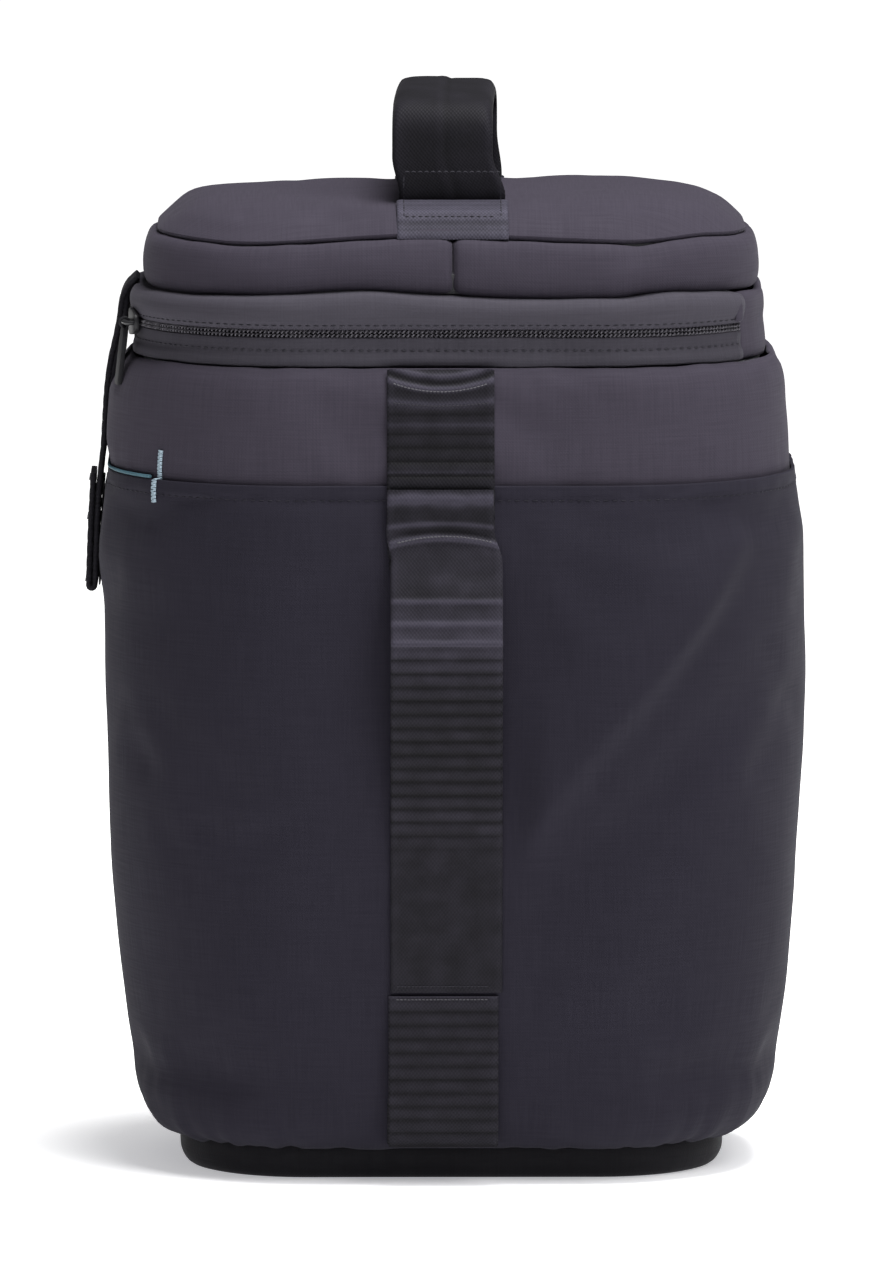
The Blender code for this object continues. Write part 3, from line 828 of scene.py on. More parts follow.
def sleeveRelief(run, rise, place):
    u, z = fromFront(run), place.z
    free = underWebbing(run)
    low = math.exp(-max(0.0, z - wall["rollBottom"]) / 13)
    pucker = ripple(run, z * 0.2, 7.5, 3.1) * 1.5 * low
    slack = ripple(run, z * 0.8, 46, 7.7) * 1.1 + ripple(run, z, 21, 1.3) * 0.3
    hem = 0.45 * smooth(z, wall["seamZ"] - 6.2, wall["seamZ"] - 5.0)
    groove = -0.5 * bump(z, wall["seamZ"] - sleeve["hem"], 0.9)
    draw = ripple(run, z, 9, 5.0) * 0.35 * smooth(z, wall["seamZ"] - 34, wall["seamZ"] - 8)
    folds = sum(foldHeight(u, z, fold) for fold in sleeve["folds"]) if place.y < 0 else 0.0
    held = smooth(z, 18, 34) * (1 - smooth(z, wall["seamZ"] - 24, wall["seamZ"] - 8))
    shape = free * (slack * held + folds * held + draw) + leftDraw(run, z)
    return shape + pucker * smooth(abs(u), 17, 26) + hem + groove


def sewnEdge(z, low, high, soft=7.0):
    return 1 - smooth(z, low, low + soft) * (1 - smooth(z, high - soft, high))


def makeSleeve():
    rows = curvedProfile([(skinHalf(z), z) for z in (10.9, 11.3, 12.6, 15, 19, 25, 31, 36, 48, 70, 100, 140, 180,
                                                     210, wall["seamZ"] - 6)], sleeve["grid"])
    rows += [(skinHalf(z), z) for z in (wall["seamZ"] - 4.6, wall["seamZ"] - 3, wall["seamZ"] - 1.2, wall["seamZ"])]
    runs = spread(backMiddle, backMiddle + around, sleeve["grid"])
    obj = sheetOf("sleeve", rows, runs)
    pins = lambda run, rise, place: max(sewnEdge(place.z, wall["rollBottom"], wall["seamZ"]),
                                        1 - underWebbing(run, 17, 6))
    plump(obj, sleeve["sim"], pins)
    subdivided(obj)
    pushOut(obj, sleeveRelief)
    thicken(obj, sleeve["cloth"])
    stand(obj, "body", sleeveCloth, "sleeve_fabric", "body_sleeve")
    return obj


yoke = {"cloth": 1.2, "grid": 5.0, "sim": {"pressure": 1.5, "cap": 1.6, "spare": 0.01, "bend": 0.8}}


def yokeRelief(run, rise, place):
    z = place.z
    free = underWebbing(run)
    high = smooth(z, wall["shoulderZ"] - 6, wall["shoulderTop"] - 2)
    gather = ripple(run, z * 0.2, 11, 9.4) * 0.7 * high
    slack = ripple(run, z * 0.9, 40, 4.4) * 1.0 * smooth(z, wall["seamZ"] + 2, wall["seamZ"] + 12) * (1 - high)
    behindStrap = 3.3 * bump(run, leftMiddle, 46) * smooth(z, wall["seamZ"] - 4, wall["seamZ"] + 10)
    behindStrap *= 1 - smooth(z, wall["shoulderZ"] + 2, wall["shoulderTop"] - 3)
    return free * (gather + slack) + behindStrap


def makeYoke():
    shoulder = []
    for i in range(9):
        turn = math.radians(90 * i / 8)
        start = wallHalf(wall["shoulderZ"]) - wall["yokeInset"]
        shoulder.append((wall["shoulderIn"] + (start - wall["shoulderIn"]) * math.cos(turn),
                         wall["shoulderZ"] + (wall["shoulderTop"] - wall["shoulderZ"]) * math.sin(turn)))
    low = [(wallHalf(z) - wall["yokeInset"], z) for z in (yokeLow.z, 236, 243, 251)]
    rows = curvedProfile(low + shoulder, 3.6)
    obj = sheetOf("yoke", rows, spread(backMiddle, backMiddle + around, yoke["grid"]))
    pins = lambda run, rise, place: max(sewnEdge(place.z, wall["seamZ"] - 2, wall["shoulderTop"], 4),
                                        1 - underWebbing(run, 17, 6))
    plump(obj, yoke["sim"], pins)
    subdivided(obj)
    pushOut(obj, yokeRelief)
    thicken(obj, yoke["cloth"])
    stand(obj, "body", yokeCloth, "yoke_fabric", "body_yoke")
    return obj


sleevePiece = makeSleeve()
yokePiece = makeYoke()
print("body covers made")

base = {
    "profile": ((85.0, 0.0), (88.6, 0.15), (91.0, 1.4), (92.8, 4.2), (93.5, 7.0), (93.3, 10.5), (92.4, 12.7)),
    "cloth": 1.4,
}


def discOf(name, profile, runs, shape=None):
    # A closed-over sheet: rings by (half width, height), then the last ring drawn in to a middle point.
    count = len(runs)
    points, marks, faces = [], [], []
    for half, z in profile:
        for run in runs:
            points.append(onPlan(run, half, z))
    last = points[-count:]
    for scale in (0.84, 0.68, 0.52, 0.36, 0.2, 0.07):
        points += [Vector((p.x * scale, p.y * scale, p.z)) for p in last]
    rings = len(profile) + 6
    for ring in range(rings - 1):
        a, b = ring * count, (ring + 1) * count
        faces += [(a + i, a + (i + 1) % count, b + (i + 1) % count, b + i) for i in range(count)]
    points.append(Vector((0, 0, last[0].z)))
    middle = len(points) - 1
    a = (rings - 1) * count
    faces += [(a + i, a + (i + 1) % count, middle) for i in range(count)]
    if shape:
        points = [shape(p) for p in points]
    marks = [(p.x, p.y) for p in points]
    return meshOf(name, points, faces, marks)


def ringRuns(step):
    return spread(0, around, step)[:-1]


def makeBase():
    profile = curvedProfile(base["profile"], 1.6)
    upright = sheetOf("base_boot_wall", profile, spread(backMiddle, backMiddle + around, 5.0))
    pushOut(upright, lambda run, rise, place: ripple(run, place.z, 16, 8.8) * 0.35 * smooth(place.z, 2, 8))
    for vert in upright.data.vertices:
        vert.co.z = max(0.0, vert.co.z)
    sole = discOf("base_sole", [(base["profile"][0][0], 0.0)], ringRuns(6))
    sole.data.flip_normals()
    boot = joinedMesh("base_boot_cover", [upright, sole])
    form = bmesh.new()
    form.from_mesh(boot.data)
    bmesh.ops.remove_doubles(form, verts=form.verts, dist=0.00002)
    form.to_mesh(boot.data)
    form.free()
    thicken(boot, base["cloth"])
    stand(boot, "body", bootCloth, "boot", "base_boot")


makeBase()
wear(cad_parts["base_board"], boardPlastic)
for name in ("base_foam", "lid_foam"):
    wear(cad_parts[name], foamCells)


def makeWallFoam():
    rows = [(wallHalf(max(z, wall["rollTop"])) - 5.6 - 4 * (1 - smooth(z, 12, 34)), z) for z in spread(15, 262, 8)]
    rows += [(wall["shoulderIn"] - 3.8, 270), (wall["shoulderIn"] - 5.2, 277.5)]
    foam = sheetOf("wall_foam_sheet", rows, spread(backMiddle, backMiddle + around, 7.0))
    pushOut(foam, lambda run, rise, place: leftDraw(run, place.z) + ripple(run, place.z, 30, 5.8) * 0.4)
    thicken(foam, 4.2)
    stand(foam, "body", foamCells, "foam", "wall_foam")


makeWallFoam()


def makeLiner():
    low = [(80.0, 12.2), (86.0, 13.0), (90.6, 17.5), (94.4, 27), (97.4, 38)]
    inset = 11.4
    walls = [(wallHalf(z) - inset, z) for z in (55, 90, 130, 175, 210)]
    mouth = wall["shoulderIn"] - 10.3
    rim = [(mouth + 5, 250), (mouth + 2.6, 262), (mouth, 270), (mouth, 278.3), (mouth + 6.7, 278.9)]
    profile = curvedProfile(low + walls + rim, 5.0)
    tub = sheetOf("liner_wall", profile, spread(backMiddle, backMiddle + around, 6.0))
    pushOut(tub, lambda run, rise, place: -abs(ripple(run, place.z * 0.5, 17, 2.2)) * 0.8
            * smooth(place.z, 20, 40) * (1 - smooth(place.z, 235, 262)))
    floorSheet = discOf("liner_floor", [(80.0, 12.2)], ringRuns(6))
    floorSheet.data.flip_normals()
    liner = joinedMesh("lining_tub", [tub, floorSheet])
    thicken(liner, 0.8)
    stand(liner, "body", liningFilm, "liner_film", "liner_tub")
    binding = [onPlan(run, 105.1, wall["shoulderTop"] + 0.1) for run in ringRuns(3)]
    piping = tubeOf("rim_binding_tape", binding, 1.0, sides=8, closed=True, squash=0.45)
    stand(piping, "body", bandCloth, "band_tape", "rim_binding")


makeLiner()
print("base and lining made")


hingeAngle = zipBand["hinge"]
teethRuns = (runAt(hingeAngle), runAt(360 - hingeAngle))


def seamWave(run, z):
    # How the seam between the band and the lid wanders up and down.
    u = fromFront(run)
    return 2.1 * bump(u, -26, 26) - 0.7 * bump(u, 34, 30) + 1.0 * bump(u, 78, 16) + 0.5 * ripple(run, 0, 38, 6.1)


def bandShift(run, z):
    return seamWave(run, z) * smooth(z, zipBand["z"] + 2.5, lid["low"] - 0.5)


def bandSag(run, z):
    # The lower edge of the band follows the shoulder, a little unevenly.
    return ripple(run, 0, 44, 2.9) * 0.5 * (1 - smooth(z, wall["shoulderTop"] + 1, zipBand["z"] - 4))


def makeZipBand():
    half, z, low = zipBand["half"], zipBand["z"], wall["shoulderTop"] + 0.3
    high = lid["low"] - 0.3
    runs = spread(*teethRuns, 2.6)
    lower = [(half - 0.2, low), (half + 0.9, low + 0.5), (half + 1.2, low + 1.9), (half + 0.9, low + 3.4),
             (half + 0.2, low + 4.6), (half - 0.1, low + 6.2), (half, z - 2.4), (half - 0.2, z - 1.5),
             (half - 1.0, z - 1.1), (half - 2.0, z - 1.0), (half - 2.4, z - 0.3)]
    upper = [(half - 2.4, z + 0.3), (half - 2.0, z + 1.0), (half - 1.0, z + 1.1), (half - 0.1, z + 1.5),
             (half + 0.5, z + 2.3), (half + 1.5, z + 4.2), (half + 2.1, z + 6.8), (half + 1.8, z + 9.2),
             (half + 0.4, high - 0.2), (half - 1.6, high + 0.25), (half - 3.6, high + 0.5),
             (half - 6.2, high + 1.0), (half - 9.5, high + 1.7)]
    lowerTape = sheetOf("zip_tape_lower_cloth", curvedProfile(lower, 0.7), runs, bandSag)
    pushOut(lowerTape, lambda run, rise, place: ripple(run, place.z, 15, 5.5) * 0.3)
    upperTape = sheetOf("zip_tape_upper_cloth", curvedProfile(upper, 0.7), runs, bandShift)
    pushOut(upperTape, lambda run, rise, place: ripple(run, place.z * 0.4, 19, 3.5) * 0.8
            * smooth(place.z, z + 2.5, z + 5))
    for obj, body, node, finish in ((lowerTape, "body", "zip_tape_lower", tapeCloth),
                                    (upperTape, "lid", "zip_tape_upper", bandCloth)):
        thicken(obj, 0.8)
        stand(obj, body, finish, "band_tape", node)
    for name, middle, body, node in (("zip_teeth_lower", z - 0.62, "body", "zip_coil_lower"),
                                     ("zip_teeth_upper", z + 0.62, "lid", "zip_coil_upper")):
        stand(coilOf(name, middle), body, coilPlastic, "zip_coil", node)
    for name, height, body, tape in (("stitch_band_low", low + 5.6, "body", lowerTape),
                                     ("stitch_band_high", z + 2.9, "lid", upperTape)):
        tree = surfaceOf(tape)
        path = [settled(tree, onPlan(run, half + 6, height), -outward(run), 0.05) for run in runs]
        stand(stitches(name, path, pitch=2.9, length=2.0), body, darkThread, "band_tape")


def coilOf(name, middle):
    # One row of zip coil: a plastic filament wound along the band's edge.
    pitch, wound, tall, filament, turn = 1.6, 0.8, 0.4, 0.32, 8
    start, stop = teethRuns
    steps = int((stop - start) / pitch * turn)
    path = []
    for i in range(steps + 1):
        run = start + (stop - start) * i / steps
        angle = 2 * math.pi * i / turn
        path.append(onPlan(run, zipBand["half"] - 0.55 + wound * math.cos(angle), middle + tall * math.sin(angle)))
    return tubeOf(name, path, filament, sides=4)


def makeGusset():
    half, low, high = zipBand["half"], wall["shoulderTop"] + 0.3, lid["low"] - 0.3
    profile = curvedProfile([(half - 0.8, low), (half - 0.4, low + 3), (half - 0.9, zipBand["z"] - 3),
                             (half - 1.3, zipBand["z"] + 1), (half - 0.9, zipBand["z"] + 5), (half - 1.2, high - 2),
                             (half - 2.6, high), (half - 4.5, high - 0.2)], 1.1)
    start, stop = runAt(360 - hingeAngle) + 0.4, around + runAt(hingeAngle) - 0.4
    obj = sheetOf("hinge_gusset_cloth", profile, spread(start, stop, 2.6), bandShift)
    pushOut(obj, lambda run, rise, place: ripple(run, place.z, 18, 4.2) * 0.6)
    thicken(obj, 1.0)
    wear(obj, yokeCloth)
    applied(obj)
    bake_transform(obj)
    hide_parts("hinge_gusset")


def makeZipEnds():
    for name, degrees in (("zip_end_front", 360 - hingeAngle - 3), ("zip_end_back", hingeAngle + 3)):
        middle = runAt(degrees)
        runs = spread(middle - 2.3, middle + 2.3, 0.4)
        half, z, high = zipBand["half"] + 2.3, zipBand["z"], lid["low"]
        profile = curvedProfile([(half - 1.0, z + 2.0), (half - 0.1, z + 2.7), (half, z + 5), (half - 0.2, z + 8),
                                 (half - 1.2, high - 1.2)], 0.5)
        obj = sheetOf(name + "_tab", profile, runs, bandShift)
        pushOut(obj, lambda run, rise, place: -0.7 * abs((run - middle) / 2.3) ** 3 + ripple(run, place.z, 3, 1) * 0.15)
        thicken(obj, 0.9)
        stand(obj, "lid", yokeCloth, "band_tape", name)


makeZipBand()
makeGusset()
makeZipEnds()
print("zip band made")


slider = {"reach": 59.3, "thick": 1.8, "wide": 11.5, "high": 9.5, "bar": 63.5, "angle": 12.0}


def outlineSolid(name, outline, depth, bevel, segments=2):
    # A flat outline in (tangent, height) with a rounded rim, facing outward along X.
    form = bmesh.new()
    verts = [form.verts.new((0, y, z)) for y, z in outline]
    face = form.faces.new(verts)
    made = bmesh.ops.extrude_face_region(form, geom=[face])
    for item in made["geom"]:
        if isinstance(item, bmesh.types.BMVert):
            item.co.x += depth
    bmesh.ops.recalc_face_normals(form, faces=form.faces)
    rims = [e for e in form.edges if abs(e.verts[0].co.x - e.verts[1].co.x) < 0.01]
    bmesh.ops.bevel(form, geom=rims, offset=bevel, segments=segments, profile=0.6, affect="EDGES")
    mesh = bpy.data.meshes.new(name)
    form.to_mesh(mesh)
    form.free()
    return newObject(name, mesh)


def roundedOutline(points, radius, steps=4):
    # A closed outline with each corner rounded.
    out = []
    count = len(points)
    for i, point in enumerate(points):
        here = Vector(point)
        before, after = Vector(points[i - 1]), Vector(points[(i + 1) % count])
        toBefore, toAfter = (before - here).normalized(), (after - here).normalized()
        reach = min(radius, (before - here).length * 0.45, (after - here).length * 0.45)
        a, b = here + toBefore * reach, here + toAfter * reach
        for k in range(steps + 1):
            t = k / steps
            out.append(tuple(a * (1 - t) ** 2 + here * 2 * t * (1 - t) + b * t ** 2))
    return out


def inMillimetres(obj):
    for vert in obj.data.vertices:
        vert.co /= mm
    return obj


def makeSlider(side, sign):
    z = zipBand["z"]
    wide, high = slider["wide"] / 2, slider["high"] / 2
    shape = [(-wide, z - high * 0.5), (-wide * 0.8, z - high), (wide * 0.2, z - high * 0.86), (wide, z - high * 0.55),
             (wide, z + high * 0.55), (wide * 0.2, z + high * 0.86), (-wide * 0.8, z + high), (-wide, z + high * 0.5)]
    if sign > 0:
        shape = [(-y, height) for y, height in reversed(shape)]
    plate = outlineSolid("plate", roundedOutline(shape, 2.2), slider["thick"], 0.5)
    for vert in plate.data.vertices:
        vert.co.x += slider["reach"]
    bar = slider["bar"]
    arch = curveThrough([(bar - 3.3, -4.4, z), (bar - 1.5, -4.3, z), (bar - 0.2, -3.1, z), (bar, -1, z), (bar, 1, z),
                         (bar - 0.2, 3.1, z), (bar - 1.5, 4.3, z), (bar - 3.3, 4.4, z)], 0.5)
    bridge = inMillimetres(tubeOf("bridge", arch, 0.75, sides=8, squash=1.2, marks=False))
    obj = joinedMesh("zip_slider_" + side + "_body", [plate, bridge])
    turnIntoPlace(obj, sign)
    stand(obj, "slider_" + side, sliderMetal, "slider_metal", "zip_slider_" + side)
    turns = [t * math.pi / 10 for t in range(20)]
    ring = [Vector((bar + 1.6 * math.cos(turn), 0, z + 1.6 * math.sin(turn))) for turn in turns]
    loop = inMillimetres(tubeOf("loop", ring, 0.5, sides=6, closed=True, marks=False))
    top, tall = z - 1.4, 20.0
    outline = roundedOutline([(-1.9, top), (1.9, top), (3.1, top - 5), (3.25, top - tall), (-3.25, top - tall),
                              (-3.1, top - 5)], 1.5)
    tab = outlineSolid("tab", outline, 1.6, 0.45)
    for vert in tab.data.vertices:
        down = top - vert.co.z
        ridge = 0.25 * math.sin(down * 2 * math.pi / 2.2) if 6 < down < tall - 2 else 0.0
        face = 1 if vert.co.x > 0.8 else -1
        vert.co.x += bar - 0.8 + down * 0.115 + ridge * face * (abs(vert.co.y) < 2.6)
    puller = joinedMesh("zip_puller_" + side + "_tab", [loop, tab])
    turnIntoPlace(puller, sign)
    stand(puller, "puller_" + side, pullerPlastic, "puller_cord", "zip_puller_" + side)


def turnIntoPlace(obj, sign):
    # From the corner's own frame, outward along X, to the left corner at the front (-1) or back (1).
    turn = math.radians(180 - sign * slider["angle"])
    for vert in obj.data.vertices:
        x, y, z = vert.co
        vert.co = Vector((-plan["coreX"] + x * math.cos(turn) - y * math.sin(turn),
                          sign * plan["coreY"] + x * math.sin(turn) + y * math.cos(turn), z)) * mm
    obj.data.update()
    obj.data.set_sharp_from_angle(angle=math.radians(40))


makeSlider("front", -1)
makeSlider("back", 1)
print("sliders made")


lidLook = {
    "cloth": 1.2,
    "bandSim": {"pressure": 2.2, "cap": 1.4, "spare": 0.012, "bend": 0.7},
    "topSim": {"pressure": 1.8, "cap": 2.2, "spare": 0.01, "bend": 0.8},
}


def topWave(run):
    # How the seam round the lid's top wanders: drawn up under the handle, down at the left corner.
    u = fromFront(run)
    if abs(u) > 150:
        return 0.4 * ripple(run, 0, 35, 8.3)
    return 2.0 * bump(u, -6, 34) - 1.0 * bump(u, -80, 30) - 0.5 * bump(u, 64, 20) + 0.9 * bump(u, 96, 16)


def lidShift(run, z):
    share = smooth(z, lid["low"] + 2, lid["seamZ"] - 1)
    return seamWave(run, z) * (1 - share) + topWave(run) * share


def makeLidBand(side, first, last):
    low, seam = lid["low"], lid["seamZ"]
    profile = curvedProfile([(98.4, low + 1.6), (100.4, low + 0.9), (103.0, low), (104.8, low + 1.8),
                             (105.5, low + 5.0), (105.6, low + 9.0), (105.0, low + 13.0), (103.8, low + 16.8),
                             (102.2, seam - 1.0),
                             (100.4, seam - 0.5), (98.0, seam - 1.0)], 2.4)
    obj = sheetOf("lid_band_" + side + "_cover", profile, spread(first, last, 4.0), lidShift)
    pins = lambda run, rise, place: max(sewnEdge(rise, low + 1, low + 22, 4), 1 - smooth(run - first, 0, 7),
                                        1 - smooth(last - run, 0, 7))
    plump(obj, lidLook["bandSim"], pins)
    subdivided(obj)

    def relief(run, rise, place):
        seamDip = math.exp(-(run - first) / 1.6) + math.exp(-(last - run) / 1.6)
        gather = ripple(run, rise * 0.3, 12, 6.6) * 0.5 * sewnEdge(rise, low, low + 23, 8)
        slack = ripple(run, rise, 33, 1.9) * 0.9 * (1 - sewnEdge(rise, low, low + 23, 8))
        dent = 0.5 * bump(fromFront(run), 66, 5) * smooth(rise, low, low + 6)
        return -1.5 * min(1.0, seamDip) + gather + slack - dent

    pushOut(obj, relief)
    thicken(obj, lidLook["cloth"])
    stand(obj, "lid", yokeCloth, "yoke_fabric", "lid_band_" + side)


def makeLidTop():
    half = lid["seamHalf"]
    insets = (2.2, 4.5, 7.5, 11, 15, 19.5, 24.5, 30, 36, 43)
    profile = [(half - 3.0, lid["seamZ"] - 1.3), (half - 1.0, lid["seamZ"] - 0.2), (half - 0.3, lid["seamZ"] + 0.9)]
    profile += [(half - inset, crownZ(inset)) for inset in insets]
    runs = ringRuns(4.6)
    obj = discOf("lid_top_cover", profile, runs)
    count = len(runs)
    cloth = obj.data.attributes["cloth"].data
    marks = [cloth[i].vector[:2] for i in range(len(cloth))]

    def ringOf(index):
        return min(index // count, len(profile) + 5)

    for vert in obj.data.vertices:
        ring = ringOf(vert.index)
        hold = 1 - smooth(ring, 2, 9)
        run = runs[vert.index % count]
        place = vert.co / mm
        droop = -1.9 * bump(place.x, -64, 30) * smooth(ring, 1, 5) + 0.5 * smooth(place.x, 40, 80) * smooth(ring, 3, 8)
        vert.co.z += (topWave(run) * hold + droop) * mm

    def pins(x, y, place):
        edge = max(abs(place.x) - 97, abs(place.y) - 66.5)
        edge = max(edge, pastCore(place) - (half - plan["coreX"] - 4))
        anchor = (1 - smooth(abs(place.x), 19, 25)) * smooth(abs(place.y), 40, 47)
        return max(smooth(edge, -3, 0), anchor)

    plump(obj, lidLook["topSim"], pins)
    subdivided(obj)

    def relief(x, y, place):
        away = 1 - (1 - smooth(abs(place.x), 19, 34)) * smooth(abs(place.y), 36, 46)
        fromSeam = smooth(half - plan["coreX"] - pastCore(place), 2, 12)
        slack = ripple(place.x, place.y, 38, 12.5) * 1.1 + ripple(place.x, place.y, 15, 3.3) * 0.25
        crease = -0.35 * bump(place.x, 66, 7) * smooth(-place.y, 30, 60)
        return away * (slack * fromSeam + crease)

    pushOut(obj, relief)
    thicken(obj, lidLook["cloth"])
    stand(obj, "lid", yokeCloth, "yoke_fabric", "lid_top_panel")


def makeLidLiner():
    half, low = 101.0, lid["low"]
    rim = [(half - 2.4, low + 0.9), (half - 0.4, low + 0.4), (half - 0.8, low), (half - 3, low - 0.1),
           (half - 9, low + 0.2), (half - 18, low + 0.3), (half - 30, low + 0.3), (half - 44, low + 0.3)]
    runs = ringRuns(5)
    obj = discOf("lid_lining", rim, runs)
    for vert in obj.data.vertices:
        row = vert.index // len(runs)
        rise = seamWave(runs[vert.index % len(runs)], 0) * (1 - smooth(row, 3, 9))
        vert.co.z += (rise if row < 3 else min(rise, 0.5)) * mm    # stays below the lid's foam
    obj.data.flip_normals()
    subdivided(obj)

    def quilt(x, y, place):
        inside = smooth(half - plan["coreX"] - pastCore(place), 6, 12)
        pocket = abs(math.sin(place.x * math.pi / 34)) * abs(math.sin(place.y * math.pi / 34))
        return inside * 0.7 * pocket ** 0.4

    pushOut(obj, quilt)
    thicken(obj, 0.5)
    stand(obj, "lid", liningFilm, "liner_film", "lid_liner")


makeLidBand("left", backMiddle + 0.15, frontMiddle - 0.15)
makeLidBand("right", frontMiddle + 0.15, backMiddle + around - 0.15)
makeLidTop()
makeLidLiner()
print("lid made")


strip = {
    "wide": 36.4, "thick": 1.7, "gap": 0.3, "ribPitch": 4.7, "ribDeep": 0.26, "aside": -4.2,
    "heights": (279.2, 276, 271, 263, 251, 240.2, 215, 180, 140, 100, 70, 45, 34, 26, 20, 16.5, 14.6),
    # Each loop's route down the strip: (height, how far it bows out).
    "grab": ((240, 0), (231.5, 0), (223.5, 0.1), (213, 2.4), (201.5, 6.2), (192.5, 8.8), (188.5, 9.6), (182, 9.0),
             (166, 6.6), (147, 3.4), (129, 1.0), (116, 0), (92, 0), (68.2, 0)),
    "low": ((67, 0), (60, 0.3), (49, 1.2), (39, 1.5), (30, 1.2), (23, 0.5), (18, 0), (15.5, 0)),
}


def offSkin(z, out):
    # A point this far out from the front skin, square to it.
    slope = 0.0 if abs(z - wall["seamZ"]) < 1 else (skinHalf(z + 0.05) - skinHalf(z - 0.05)) / 0.1
    length = math.hypot(1, slope)
    depth = skinHalf(z) + out / length - plan["coreX"] + plan["coreY"]
    return Vector((0, -depth, z - slope * out / length))


def ribs(z, deep):
    # Rounded cords across the strap, with a narrow valley between.
    turn = z * 2 * math.pi / strip["ribPitch"]
    return deep * (abs(math.sin(turn / 2)) ** 0.45 * 2 - 1.4)


def stripRelief(share, along, z, face):
    deep = 0.24 * (1 - smooth(z, 256, 264)) + 0.06
    smile = 3.4 * share * share
    tuck = 0.55 * bump(z, 277.5 + smile, 0.8) - 0.5 * bump(z, 275.4 + smile, 1.0) + 0.5 * bump(z, 273.2 + smile, 0.9)
    tuck += 0.35 * bump(z, 268.0 + smile * 0.4, 1.1) - 0.5 * bump(z, 265.2, 1.0)
    return ribs(z, deep) + 0.12 * bump(abs(share), 0.93, 0.05) + (tuck if face > 0 else 0)


def grabRelief(share, along, z, face):
    deep = strip["ribDeep"] * smooth(z, 110, 128) * (1 - smooth(z, 184, 190)) + 0.04
    frown = 2.6 * share * share
    crest = 0.9 * bump(z, 223.6 - frown, 0.9) + 0.8 * bump(z, 188.8, 0.9) + 0.45 * bump(z, 202.5, 1.0)
    crest += 0.4 * bump(z, 195, 0.9) + 0.5 * bump(z, 228.4 - frown * 0.5, 0.9) - 0.4 * bump(z, 226.2 - frown, 0.9)
    crest += (0.75 + 0.5 * ripple(share * 17, z * 0.2, 4, 8.5)) * bump(z, 236.6, 1.9)
    rumple = ripple(share * 17, z, 8, 2.5) * 0.3 * (smooth(z, 182, 194) - smooth(z, 230, 240) * 0.5)
    edge = 0.18 * bump(abs(share), 0.93, 0.05)
    return ribs(z, deep) * 0.8 + (crest + rumple if face > 0 else 0) + edge


def lowRelief(share, along, z, face):
    return ribs(z, 0.2) + 0.15 * bump(abs(share), 0.93, 0.05)


# Painted light on the front strip: highlights on the folds at its top tack, painted shade below 255 mm behind the grab
# loop's gap, and painted light and shade on its ribs.
def stripPaintedLight(share, z):
    smile = 3.4 * share * share
    blotch = ripple(share * 17, z, 5.5, 1.9)
    folds = (2.4 + 1.5 * blotch) * bump(z, 273.4 + smile, 1.0) + (1.3 + blotch) * bump(z, 277.6 + smile, 1.0)
    lower = 1.0 * bump(z, 268.4 + smile * 0.4, 1.4) + 0.8 * bump(z, 261.6, 0.8) - 0.5 * (1 - smooth(z, 255, 263))
    return folds + lower + blotch * 0.3 + 0.9 * bump(z, 245.5, 0.6) + ribs(z, 0.4) * (1 - smooth(z, 256, 262))


# Painted light on the grab loop: highlight lines on its folds and at its mouth, a painted lit band where the bulge
# faces up, painted shade below it where it faces down, and a painted ladder of lit and shaded ribs.
def grabPaintedLight(share, z):
    blotch = ripple(share * 17, z, 5.5, 4.9)
    frown = 2.6 * share * share
    lines = 2.9 * bump(z, 223.6 - frown, 0.8) + 2.9 * bump(z, 189.0, 0.7) + 1.1 * bump(z, 202.5, 0.9)
    lines += 0.9 * bump(z, 228.6 - frown * 0.5, 0.9) + 1.0 * bump(z, 195.4, 1.0)
    zone = 1.0 * smooth(z, 186.5, 189.5) * (1 - smooth(z, 194, 205))
    zone += 0.45 * smooth(z, 204, 209) * (1 - smooth(z, 224, 227))
    mouth = (2.0 + 2.0 * blotch) * bump(z, 236.4, 2.0)
    below = 0.7 * smooth(z, 176, 187) * (1 - smooth(z, 187, 188))
    below -= 0.3 * smooth(z, 128, 140) * (1 - smooth(z, 166, 178))
    ladder = ribs(z, 0.62) * smooth(z, 112, 132) * (1 - smooth(z, 185, 188))
    return lines * 1.15 + zone + mouth + below + blotch * 0.35 + ladder


# Painted light on the low loop: a highlight line at its top fold, and painted light and shade on its ribs.
def lowPaintedLight(share, z):
    return (0.9 * bump(z, 66.2, 0.7) + 0.3 * smooth(z, 60, 66) + ribs(z, 0.4) - 0.1
            + ripple(share * 17, z, 6, 2.2) * 0.25)


